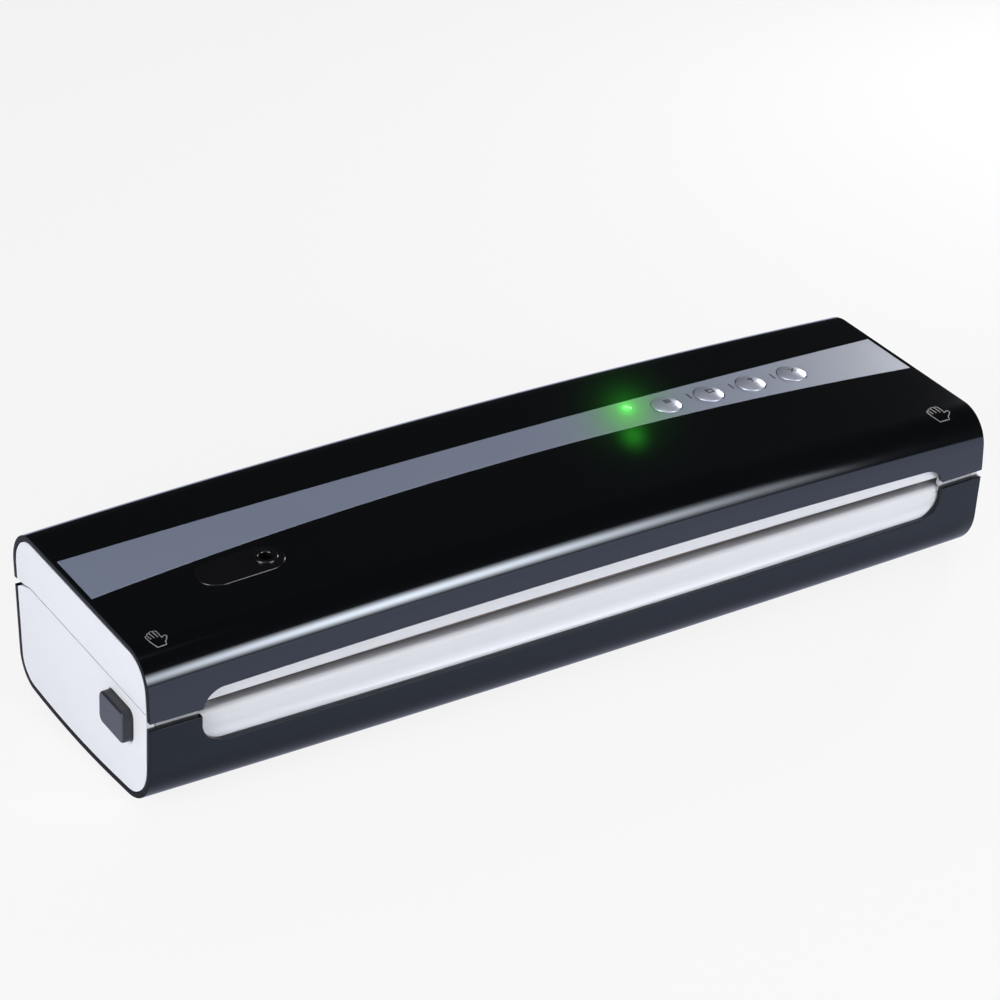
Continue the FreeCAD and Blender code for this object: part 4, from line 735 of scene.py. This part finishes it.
# -----
# Release buttons. Satin black mouldings that slide through the end caps against a coil spring;
# pressed in, the catch on their inner end lets the lid's hook go.
satin_black = moulding("satin_black", (0.018, 0.020, 0.026), (0.026, 0.028, 0.036), 0.36, 0.06, 1100.0, 0.02)
finish(satin_black, "release_button_left", "release_button_right")
spring_coil = banded("spring_coil", (0.30, 0.31, 0.33), (0.66, 0.67, 0.69), 1.4, "X", 0.28, 1.0)
finish(spring_coil, "release_spring_left", "release_spring_right")


# -----
# Lid liner. The white plate under the lid, satin plastic like the deck: its turned down front is
# the upper lip of the mouth, hooks under its ends latch it and ears at the back hold steel pins.
finish(lip_white, "lid_liner", "latch_hooks")
finish(zinc_steel, "hinge_pins", "lid_screws")
silicone_grey = moulding(
    "silicone_grey", (0.160, 0.150, 0.145), (0.200, 0.190, 0.182), 0.55, 0.08, 900.0, 0.03)
finish(silicone_grey, "pressure_strip")
finish(gasket_foam, "upper_gasket")


# -----
# Key board. A narrow board behind the panel with one tact switch under each key.
finish(board_green, "key_board")
finish(inner_black, "tact_switches")


# -----
# Lid shell. The glossy black cover that wraps over the body, moulded with a 2.2 mm wall: cut out
# in front over the mouth, let in for the panel band, pierced for keys, lamp and accessory port.
LID_SKIRT = 2.2
LID_MOUTH_HALF = 162.6
LID_MOUTH_TOP = 45.05
LID_MOUTH_CORNER = 9.0
LID_MOUTH_ARCH = 2.65
BAND_HALF = 180.6
BAND_FRONT = (-7.25, -0.45)
BAND_BACK = (19.75, 16.85)
BAND_THICKNESS = 0.9
BAND_PLAY = 0.12
KEY_PLACES = [(72.0 + 20.2 * i, 61.9) for i in range(4)]
KEY_HOLE = 6.25
LAMP_X, LAMP_LINE, LAMP_HOLE = 56.6, 66.8, 2.02
PORT_X, PORT_LINE, PORT_HALF, PORT_RADIUS = -127.3, 38.5, 9.35, 7.9
HINGE_X, HINGE_Y, HINGE_Z = 120.0, 50.65, 49.5
HINGE_NOTCH, NOTCH_FRONT, NOTCH_BACK = 11.2, HINGE_Y - 10.0, 60.0
NOTCH_FOOT, NOTCH_TOP = 20.0, HINGE_Z + 3.8
HOLE_TOP, HOLE_FOOT = -0.5, -7.0
# Turn and colour of the lamp's painted glow and painted spill on the finishes round it.
PAINTED_GLOW_TURN = math.radians(33.0)
PAINTED_GLOW_GREEN = (0.07, 1.0, 0.05)


def arc_edge(x, ends, middle):
    """y of a long flat arc through two ends and a middle."""
    rise = ends - middle
    radius = (BAND_HALF ** 2 + rise ** 2) / (2 * abs(rise))
    sag = radius - math.sqrt(radius ** 2 - x ** 2)
    return middle + math.copysign(sag, rise)


def seam_place(x, u, w):
    """Place in the tilted seam frame: u back along the seam, w square to it."""
    origin = Matrix.Translation((0, END_FRONT, SEAM_FRONT_HEIGHT))
    return origin @ Matrix.Rotation(SEAM_TILT, 4, "X") @ Matrix.Translation((x, u, w))


def top_rise(x):
    """Height of the lid's top over the seam, square to the seam."""
    return (LID_FRONT_HEIGHT - SEAM_FRONT_HEIGHT + TOP_CROWN * bow(x)) * math.cos(SEAM_TILT)


def top_place(x, u):
    """Place on the crowned lid top, local z square to it."""
    slope = math.atan(2 * TOP_CROWN * x / BODY_HALF ** 2)
    return seam_place(x, u, top_rise(x)) @ Matrix.Rotation(slope, 4, "Y")


def lid_ring(x, inset):
    line = Outline(x)
    skirt = LID_SKIRT / math.cos(SEAM_TILT)
    edge = mouth_edge(
        x, LID_MOUTH_HALF, LID_MOUTH_TOP, LID_MOUTH_CORNER, -1, seam_height(front_at(x)) - skirt,
        LID_MOUTH_ARCH)
    start = line.front_s(edge) + inset
    end = line.back_s(seam_height(BODY_BACK) - skirt) - inset
    reach = min(abs(x), BAND_HALF)
    let_front = line.top_s(arc_edge(reach, *BAND_FRONT) - BAND_PLAY)
    let_back = line.top_s(arc_edge(reach, *BAND_BACK) + BAND_PLAY)
    depth = BAND_THICKNESS if abs(x) <= BAND_HALF + BAND_PLAY else 0.0
    run = stepped([
        (start + SHELL_RIM, 8, 0.0), (line.mark(2, 0), 26, 0.0), (line.mark(2, 1), 10, 0.0),
        (let_front, 1, 0.0), (let_front, 8, depth), (let_back, 1, depth), (let_back, 8, 0.0),
        (line.mark(3, 0), 22, 0.0), (line.mark(3, 1), 10, 0.0)], end - SHELL_RIM)
    return wall_ring(line, start, end, run, SHELL_WALL, SHELL_RIM, inset)


def panel_holes(label, foot, top):
    """Cutters for the keys and the lamp, between two heights on the lid's top."""
    cutters = []
    for x, u in KEY_PLACES:
        cutters.append(prism(label + "key_hole", top_place(x, u), circle(KEY_HOLE, 64), foot, top))
    return cutters + [prism(label + "lamp_hole", lamp_place, circle(LAMP_HOLE, 32), foot, top)]


lid_places = list(np.linspace(-180, 180, 121)) + mouth_places(LID_MOUTH_HALF, LID_MOUTH_CORNER)
lid_places += [side * (BAND_HALF + BAND_PLAY + step) for side in (-1, 1) for step in (0.0, 0.02, 0.5)]
lid_shell = sweep("lid_cover", end_rounded(lid_places, BODY_HALF, SHELL_RIM), lid_ring)
port_place, lamp_place = top_place(PORT_X, PORT_LINE), top_place(LAMP_X, LAMP_LINE)
holes = [prism("port_hole", port_place, stadium(PORT_HALF, PORT_RADIUS, 40), HOLE_FOOT, -HOLE_FOOT)]
holes += panel_holes("", HOLE_FOOT, HOLE_TOP)
for side in (-1, 1):
    notch = [(side * HINGE_X + x, y) for x, y in (
        (-HINGE_NOTCH, NOTCH_FRONT), (HINGE_NOTCH, NOTCH_FRONT), (HINGE_NOTCH, NOTCH_BACK),
        (-HINGE_NOTCH, NOTCH_BACK))]
    holes.append(prism("hinge_notch", Matrix(), notch, NOTCH_FOOT, NOTCH_TOP))
cut_from(lid_shell, holes)
shade_body(lid_shell)


def painted_lamp_glow_group():
    """Painted green glow round the signal lamp: soft halos of emission over what is round it, and a painted
    spill patch in front of it.
    """
    group, given, made = new_group(
        "painted_lamp_glow", ("Core", "Near", "Far", "Spill"), Glow="Color", Share="Float")
    lamp = lamp_place.translation
    # Painted halos of green emission: Far, Near and Core round the lamp, Spill a painted patch in front of
    # it.
    painted_halos = (
        ("Far", lamp, 15.0, 29.0), ("Near", lamp, 7.0, 14.0), ("Core", lamp, 2.8, 4.6),
        ("Spill", lamp + Vector((-10, -19, -2)), 4.4, 8.5))
    total = None
    for label, middle, wide, deep in painted_halos:
        shift = add_node(group, "VectorMath", "SUBTRACT", middle * MM)
        turn = add_node(group, "VectorRotate", Angle=PAINTED_GLOW_TURN)
        turn.rotation_type = "Z_AXIS"
        stretch = add_node(group, "VectorMath", "DIVIDE", (wide * MM, deep * MM, wide * MM))
        square = add_node(group, "VectorMath", "DOT_PRODUCT")
        sink = add_node(group, "Math", "MULTIPLY", -1.0)
        fade = add_node(group, "Math", "EXPONENT")
        scaled = add_node(group, "Math", "MULTIPLY_ADD")
        scaled.inputs[2].default_value = 0.0
        over_piece(group, shift)
        wire(
            group, (shift, "Vector", turn, "Vector"), (turn, "Vector", stretch, 0),
            (stretch, "Vector", square, 0), (stretch, "Vector", square, 1), (square, "Value", sink, 0),
            (sink, 0, fade, 0), (fade, 0, scaled, 0), (given, label, scaled, 1))
        if total is None:
            wire(group, (fade, 0, made, "Share"))
        else:
            wire(group, (total, 0, scaled, 2))
        total = scaled
    tint = add_node(group, "VectorMath", "SCALE")
    tint.inputs[0].default_value = PAINTED_GLOW_GREEN
    wire(group, (total, 0, tint, "Scale"), (tint, "Vector", made, "Glow"))
    return group


painted_lamp_glow = painted_lamp_glow_group()


def add_painted_lamp_glow(material, core, near, far, spill, painted_glow_tint=None):
    """Paints the signal lamp's green glow into a finish as emission, and paints its base colour green round
    the lamp where a tint is given.
    """
    tree = material.node_tree
    glow = use_group(tree, painted_lamp_glow, Core=core, Near=near, Far=far, Spill=spill)
    shader = tree.nodes["Principled BSDF"]
    give(shader, Emission_Strength=1.0)
    wire(tree, (glow, "Glow", shader, "Emission Color"))
    if painted_glow_tint:
        tone = next(node for node in tree.nodes if node.type == "MIX")
        green = two_tones(tree, painted_glow_tint, painted_glow_tint)
        wire(tree, (glow, "Share", green, 0), (tone, 2, green, 6), (green, 2, shader, "Base Color"))


lid_black = moulding(
    "lid_black", (0.0016, 0.0018, 0.0022), (0.0022, 0.0025, 0.0030), 0.11, 0.04, 260.0, 0.004, 0.84,
    Specular_Tint=(0.80, 0.88, 1.0, 1))
# Painted green glow of the lamp on the lid's black, with a painted spill patch in front of the lamp.
add_painted_lamp_glow(lid_black, 0.0, 0.075, 0.022, 0.14)
lid_shell.data.materials.append(lid_black)
ink_ends(lid_shell, edge_black)
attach(lid_shell, "lid")
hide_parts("lid_shell")


# -----
# Lid end caps. White plates set flush into both ends of the lid shell, in the same plastic as the
# caps of the base.
finish(cap_white, "lid_cap_left", "lid_cap_right")


# -----
# Accessory port. An oblong insert in the lid's own black plastic, a little proud of its face, with
# a collared bore that leads down into the vacuum chamber.
PORT_RISE = 0.4
PORT_ROUND = 0.35
PORT_PLAY = 0.15
PORT_RING_RISE = 1.3
PORT_COLLAR = 4.5
COLLAR_ROUND = 0.6
PORT_BORE_X = 10.3
PORT_BORE, PORT_TUBE, PORT_TUBE_FOOT = 2.5, 3.6, -22.0
COLLAR_FOOT = -1.0
PORT_FLANGE, FLANGE_TOP, FLANGE_FOOT = 1.4, -2.6, -4.0
PORT_FLAT = -3.0
PORT_CUT, CUT_FOOT, CUT_TOP = 3.0, -30.0, 5.0
port_levels = [(FLANGE_FOOT, PORT_FLANGE), (FLANGE_TOP, PORT_FLANGE), (FLANGE_TOP, -PORT_PLAY)]
for turn in np.linspace(0, math.pi / 2, 6):
    port_levels.append((
        PORT_RISE - PORT_ROUND * (1 - math.sin(turn)), -PORT_PLAY - PORT_ROUND * (1 - math.cos(turn))))
port_levels.append((PORT_RISE, PORT_FLAT))
port_points = []
for z, grow in port_levels:
    port_outline = stadium(PORT_HALF, PORT_RADIUS + grow, 40)
    port_points += [tuple(port_place @ Vector((x, y, z))) for x, y in port_outline]
port = new_piece("port_plate", port_points, ring_faces(len(port_levels), len(port_outline)))
bore_place = port_place @ Matrix.Translation((PORT_BORE_X, 0, 0))
cut_from(port, [prism("port_bore", bore_place, circle(PORT_CUT, 48), CUT_FOOT, CUT_TOP)])
ring_profile = [
    (PORT_BORE, PORT_TUBE_FOOT), (PORT_TUBE, PORT_TUBE_FOOT), (PORT_TUBE, COLLAR_FOOT),
    (PORT_COLLAR, COLLAR_FOOT)]
for middle, turns in ((PORT_COLLAR - COLLAR_ROUND, (0, 90)), (PORT_BORE + COLLAR_ROUND, (90, 180))):
    for turn in np.radians(np.linspace(*turns, 7)):
        ring_profile.append((
            middle + COLLAR_ROUND * math.cos(turn), PORT_RING_RISE - COLLAR_ROUND * (1 - math.sin(turn))))
ring_profile.append((PORT_BORE, PORT_TUBE_FOOT))
port_ring = lathe("port_ring", bore_place, ring_profile, 48)
port = joined("accessory_port_insert", [port, port_ring])
shade(port)
port_black = moulding(
    "port_black", (0.003, 0.003, 0.004), (0.004, 0.004, 0.005), 0.24, 0.05, 600.0, 0.008, 0.8)
port.data.materials.append(port_black)
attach(port, "lid")
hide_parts("accessory_port")


# -----
# Panel band. A waisted strip of satin silver-grey film-faced plastic, glued flush into the lid's
# let-in, with holes for the keys and the lamp and thin printed ticks between the keys.
BAND_RIM = 0.14
BAND_GLUE = 0.02
BAND_CUT = 4.0


def band_ring(x, inset):
    line = Outline(x)
    start = line.top_s(arc_edge(x, *BAND_FRONT)) + inset
    end = line.top_s(arc_edge(x, *BAND_BACK)) - inset
    run = stepped([(start + BAND_RIM, 13, 0.0)], end - BAND_RIM)
    return wall_ring(line, start, end, run, BAND_THICKNESS - BAND_GLUE, BAND_RIM, inset)


band_places = list(np.linspace(-178, 178, 120))
band = sweep("panel_strip", end_rounded(band_places, BAND_HALF, BAND_RIM), band_ring)
cut_from(band, panel_holes("band_", -BAND_CUT, BAND_CUT))
shade_body(band)
band_silver = moulding(
    "band_silver", (0.258, 0.316, 0.472), (0.276, 0.334, 0.490), 0.48, 0.05, 1800.0, 0.006, 1.0, IOR=2.6)
# Painted green glow on the band, and its base colour painted green round the lamp.
add_painted_lamp_glow(band_silver, 0.45, 0.22, 0.08, 0.0, (0.10, 0.36, 0.12))
band.data.materials.append(band_silver)
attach(band, "lid")
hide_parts("panel_band")


INK_RISE, INK_ROOT, INK_STEP = 0.03, 0.05, 0.7


def face_spot(line, x, s):
    """Point at a length s along the body's outline at x, and the direction square to it."""
    row = line.at(np.array([s]))[0]
    return Vector((x, row[0], row[1])), Vector((-row[4], row[2], row[3])).normalized()


def lid_spot(x, y):
    """Spot on the lid's crowned top."""
    line = Outline(x)
    return face_spot(line, x, line.top_s(y))


def short_steps(stroke):
    """A stroke's points with its straight runs split, so that ink follows a bent face."""
    points = [stroke[0]]
    for (x, y), (to_x, to_y) in zip(stroke[:-1], stroke[1:]):
        steps = math.ceil(math.hypot(to_x - x, to_y - y) / INK_STEP)
        for share in np.linspace(0, 1, steps + 1)[1:]:
            points.append((x + (to_x - x) * share, y + (to_y - y) * share))
    return points


def printed(name, strokes, width, spot_at):
    """Ink strokes on a face: each stroke is a list of (x, y) points, spot_at gives place and normal."""
    vertices, faces = [], []
    for stroke in strokes:
        first = len(vertices)
        spots = [spot_at(x, y) for x, y in short_steps(stroke)]
        for i, (spot, normal) in enumerate(spots):
            ahead = spots[min(i + 1, len(spots) - 1)][0] - spots[max(i - 1, 0)][0]
            side = normal.cross(ahead.normalized()) * (width / 2)
            for point in (spot + side, spot - side):
                vertices.append(tuple(point + normal * INK_RISE))
                vertices.append(tuple(point - normal * INK_ROOT))
        for i in range(len(spots) - 1):
            a = first + 4 * i
            b = a + 4
            faces += [
                (a, b, b + 2, a + 2), (a + 1, a + 3, b + 3, b + 1), (a, a + 1, b + 1, b),
                (a + 2, b + 2, b + 3, a + 3)]
        last = first + 4 * (len(spots) - 1)
        faces += [(first, first + 2, first + 3, first + 1), (last, last + 1, last + 3, last + 2)]
    return new_piece(name, vertices, faces)


TICKS = [(84.0, 9.6), (104.0, 9.2), (124.1, 9.1)]
TICK_HALF, TICK_WIDTH = 2.0, 0.7
tick_strokes = [[(x, y - TICK_HALF), (x, y + TICK_HALF)] for x, y in TICKS]
ticks = printed("panel_ticks", tick_strokes, TICK_WIDTH, lid_spot)
ink_grey = moulding("ink_grey", (0.045, 0.048, 0.060), (0.060, 0.064, 0.078), 0.5, 0.06, 2000.0, 0.004)
ticks.data.materials.append(ink_grey)
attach(ticks, "lid")


# -----
# Keys. Four round caps with a shallow dome in pearl silver lacquer, each on a stem that reaches
# down to its switch and held in from below by a flange.
KEY_RADIUS = 5.9
KEY_EDGE = 0.2
KEY_CROWN = 1.7
KEY_SIGN_WIDTH = 0.6
STEM_RADIUS = 2.0
SWITCH_TOP = 17.1
FLANGE_RADIUS, KEY_FLANGE_TOP, KEY_FLANGE_FOOT = 7.2, -2.8, -3.7
KEY_BEVEL, KEY_RIM = 0.2, 0.15
KEY_BALL = (KEY_RADIUS ** 2 + (KEY_CROWN - KEY_EDGE) ** 2) / (2 * (KEY_CROWN - KEY_EDGE))
key_silver = moulding(
    "key_silver", (0.74, 0.78, 0.92), (0.78, 0.82, 0.96), 0.36, 0.05, 1600.0, 0.006, Metallic=0.6)
# Painted green glow of the lamp on the keys.
add_painted_lamp_glow(key_silver, 0.0, 0.12, 0.03, 0.0)
KEY_SIGNS = {
    "mode_key": [[(-1.4, 0.9), (1.4, 0.9)], [(-1.4, 0.0), (1.4, 0.0)], [(-1.4, -0.9), (1.4, -0.9)]],
    "seal_key": [[(-1.3, 1.3), (-1.3, -1.4), (1.3, -1.4), (1.3, 1.3)], [(-1.7, 0.6), (1.7, 0.6)]],
    "vacuum_key": [[(0.0, 1.6), (0.0, -1.4)], [(-1.1, 0.5), (0.0, 1.6), (1.1, 0.5)]],
    "cancel_key": [[(-1.2, -1.2), (1.2, 1.2)], [(-1.2, 1.2), (1.2, -1.2)]],
}
for (name, signs), (x, u) in zip(KEY_SIGNS.items(), KEY_PLACES):
    place = top_place(x, u)
    stem_foot = SWITCH_TOP - top_rise(x)
    profile = [
        (0, stem_foot), (STEM_RADIUS - KEY_BEVEL, stem_foot), (STEM_RADIUS, stem_foot + KEY_BEVEL),
        (STEM_RADIUS, KEY_FLANGE_FOOT), (FLANGE_RADIUS - KEY_BEVEL, KEY_FLANGE_FOOT),
        (FLANGE_RADIUS, KEY_FLANGE_FOOT + KEY_BEVEL), (FLANGE_RADIUS, KEY_FLANGE_TOP - KEY_BEVEL),
        (FLANGE_RADIUS - KEY_BEVEL, KEY_FLANGE_TOP), (KEY_RADIUS, KEY_FLANGE_TOP),
        (KEY_RADIUS, KEY_EDGE - KEY_RIM), (KEY_RADIUS - KEY_RIM / 3, KEY_EDGE - KEY_RIM / 5)]
    for radius in np.linspace(KEY_RADIUS - KEY_RIM, 0, 16):
        profile.append((radius, KEY_CROWN - KEY_BALL + math.sqrt(KEY_BALL ** 2 - radius ** 2)))
    key = lathe(name + "_cap", place, profile, 64)
    shade(key)
    key.data.materials.append(key_silver)
    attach(key, name)
    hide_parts(name)

    def dome_spot(a, b):
        """Point on this key's dome, and the direction square to it."""
        out = Vector((a, b, math.sqrt(KEY_BALL ** 2 - a ** 2 - b ** 2)))
        return place @ (out + Vector((0, 0, KEY_CROWN - KEY_BALL))), place.to_3x3() @ out.normalized()

    sign = printed(name + "_sign", signs, KEY_SIGN_WIDTH, dome_spot)
    sign.data.materials.append(ink_grey)
    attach(sign, name)


# -----
# Signal lamp. A clear green light guide with a domed end, lit from the key board.
LAMP_DOME, LAMP_CORE = 0.5, 2.0
lamp_green, lamp_tree, lamp_shader = new_material(
    "lamp_green", Base_Color=(0.05, 0.55, 0.08, 1), Roughness=0.25, Emission_Strength=1.0)
lamp_middle = lamp_place @ Vector((0, 0, LAMP_DOME)) * MM
lamp_gap = add_node(lamp_tree, "VectorMath", "DISTANCE", lamp_middle)
lamp_core = add_node(lamp_tree, "MapRange", From_Max=LAMP_CORE * MM)
lamp_tint = two_tones(lamp_tree, (0.45, 1.0, 0.40), (0.10, 0.75, 0.10))
over_piece(lamp_tree, lamp_gap)
wire(
    lamp_tree, (lamp_gap, "Value", lamp_core, "Value"), (lamp_core, "Result", lamp_tint, 0),
    (lamp_tint, 2, lamp_shader, "Emission Color"))
finish(lamp_green, "lamp_lens")


# -----
# Hand signs. Line drawings of a flat hand, printed in pale grey at both front corners of the lid,
# where it is pressed down to latch.
HAND_WIDTH = 0.36
HAND = [
    [(-2.7, 1.8), (-2.75, 2.7), (-2.3, 3.3), (-1.8, 3.3), (-1.6, 3.95), (-1.1, 4.35), (-0.6, 4.15),
     (-0.3, 4.75), (0.3, 5.0), (0.85, 4.55), (1.2, 4.75), (1.75, 4.6), (2.05, 4.0), (2.15, 0.0),
     (3.1, 0.8), (3.75, 0.55), (3.9, -0.25), (3.05, -1.5), (2.35, -2.25), (2.15, -3.55),
     (-1.3, -3.65), (-2.5, -0.45), (-2.7, 1.8)],
    [(-1.8, 3.3), (-1.5, 0.8)],
    [(-0.6, 4.15), (-0.2, 1.0)],
    [(0.85, 4.55), (1.05, 0.8)],
]


def front_round_spot(x, s):
    """Spot on the lid at a length s behind the end of its front round."""
    line = Outline(x)
    return face_spot(line, x, line.mark(2, 1) + s)


sign_ink = moulding("sign_ink", (0.30, 0.30, 0.31), (0.38, 0.38, 0.39), 0.5, 0.06, 2000.0, 0.004)
for label, middle_x, middle_s, wide in (("left", -172.9, -1.17, 1.0), ("right", 166.2, -3.38, 1.4)):
    strokes = [[(middle_x + wide * x, middle_s + y) for x, y in stroke] for stroke in HAND]
    sign = printed("hand_sign_" + label, strokes, HAND_WIDTH, front_round_spot)
    sign.data.materials.append(sign_ink)
    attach(sign, "lid")


# -----
# Studio. A white table top, dark surroundings, soft boxes at the front, the left, the right and
# overhead, and the camera.
TABLE_REACH = 12.0
TABLE_GLOW = 0.85
# Painted contact shadow on the table, seen only in reflections: darkest at the base and gone at this reach
# in mm.
PAINTED_SHADOW_REACH, PAINTED_CONTACT_SHADOW = 16.0, 0.5


def floor_material():
    """White table top: shown near white with a share of the shadows, and with a painted shadow round the
    base where it is mirrored.
    """
    material, tree, shader = new_material("table_white")
    tree.nodes.remove(shader)
    matte = add_node(tree, "BsdfDiffuse", Color=(0.90, 0.90, 0.91, 1))
    bright, both = add_node(tree, "Emission"), add_node(tree, "MixShader")
    cool = two_tones(tree, (1.0, 1.0, 1.0), (0.80, 0.86, 1.10))
    path = add_node(tree, "LightPath")
    seen, seen_all, outside, strength = (add_node(tree, "Math", "MAXIMUM") for i in range(4))
    share = add_node(tree, "Math", "MULTIPLY", TABLE_GLOW)
    low, high = (Vector(corner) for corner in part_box("base_shell"))
    spot, split = add_node(tree, "NewGeometry"), add_node(tree, "SeparateXYZ")
    offset = add_node(tree, "VectorMath", "SUBTRACT", (low + high) / 2)
    length = add_node(tree, "VectorMath", "ABSOLUTE")
    apart = add_node(tree, "VectorMath", "SUBTRACT", (high - low) / 2)
    # Painted contact shadow: the table's glow, as mirrored, dims towards the base's outline.
    clear = add_node(tree, "MapRange", From_Max=PAINTED_SHADOW_REACH * MM, To_Min=PAINTED_CONTACT_SHADOW)
    wire(
        tree, (path, "Is Camera Ray", seen, 0), (path, "Is Glossy Ray", seen, 1), (seen, 0, seen_all, 0),
        (path, "Is Transmission Ray", seen_all, 1), (seen_all, 0, share, 0), (share, 0, both, 0),
        (path, "Is Glossy Ray", cool, 0), (cool, 2, bright, "Color"), (spot, "Position", offset, 0),
        (offset, "Vector", length, 0), (length, "Vector", apart, 0), (apart, "Vector", split, "Vector"),
        (split, "X", outside, 0), (split, "Y", outside, 1), (outside, 0, clear, "Value"),
        (clear, "Result", strength, 0), (path, "Is Camera Ray", strength, 1),
        (strength, 0, bright, "Strength"), (matte, 0, both, 1), (bright, 0, both, 2),
        (both, 0, tree.nodes["Material Output"], "Surface"))
    return material


floor_mesh = bpy.data.meshes.new("table_top")
floor_corners = [(x * TABLE_REACH, y * TABLE_REACH, 0) for x, y in SQUARE]
floor_mesh.from_pydata(floor_corners, [], [(0, 1, 2, 3)])
floor = placed("table_top", floor_mesh)
floor_mesh.materials.append(floor_material())


CLOTH_FADE = -9.5


def soft_box(name, aim, azimuth, height, distance, size, radiance, colour):
    """Soft box turned to a point, from an azimuth and height in degrees; its cloth fades to its edges."""
    light = bpy.data.lights.new(name, "AREA")
    light.shape = "RECTANGLE"
    light.size, light.size_y = size
    light.energy = radiance * math.pi * size[0] * size[1]
    light.color = colour
    light.use_nodes = True
    tree = light.node_tree
    spot = add_node(tree, "NewGeometry")
    centred = add_node(tree, "VectorMath", "SUBTRACT", (0.5, 0.5, 0.0))
    gap = add_node(tree, "VectorMath", "DOT_PRODUCT")
    fade = add_node(tree, "Math", "MULTIPLY", CLOTH_FADE)
    bright = add_node(tree, "Math", "EXPONENT")
    wire(
        tree, (spot, "Parametric", centred, 0), (centred, "Vector", gap, 0), (centred, "Vector", gap, 1),
        (gap, "Value", fade, 0), (fade, 0, bright, 0), (bright, 0, tree.nodes["Emission"], "Strength"))
    lamp = placed(name, light)
    turn, lift = math.radians(azimuth), math.radians(height)
    way = Vector((math.cos(lift) * math.cos(turn), math.cos(lift) * math.sin(turn), math.sin(lift)))
    lamp.location = Vector(aim) + way * distance
    lamp.rotation_euler = (-way).to_track_quat("-Z", "Y").to_euler()


soft_box("front_box", (-0.05, -0.05, 0.045), -66.0, 18.0, 1.15, (0.86, 0.64), 15.2, (1.0, 1.0, 1.0))
soft_box("left_box", (-0.18, 0.0, 0.03), 195.0, 22.0, 1.3, (1.1, 0.9), 15.2, (0.98, 0.99, 1.0))
soft_box("top_box", (0.0, 0.0, 0.06), 220.0, 78.0, 2.0, (1.4, 1.4), 1.5, (1.0, 1.0, 1.0))
soft_box("right_box", (0.17, 0.0, 0.06), 30.0, 20.0, 0.75, (0.22, 0.22), 55.0, (1.0, 0.99, 0.98))
world = bpy.data.worlds.new("studio")
world.use_nodes = True
give(world.node_tree.nodes["Background"], Color=(0.030, 0.031, 0.034, 1))
bpy.context.scene.world = world

camera_data = bpy.data.cameras.new("camera")
camera_data.lens = 115.27
camera_data.sensor_width = 36.0
camera = placed("camera", camera_data)
turn = Matrix((
    (0.84044, 0.23996, -0.48588),
    (-0.54191, 0.37396, -0.75266),
    (0.00109, 0.89586, 0.44433)))
camera.matrix_world = Matrix.Translation((-0.58890, -0.89817, 0.58526)) @ turn.to_4x4()
bpy.context.scene.camera = camera
bpy.context.scene.view_settings.view_transform = "Standard"
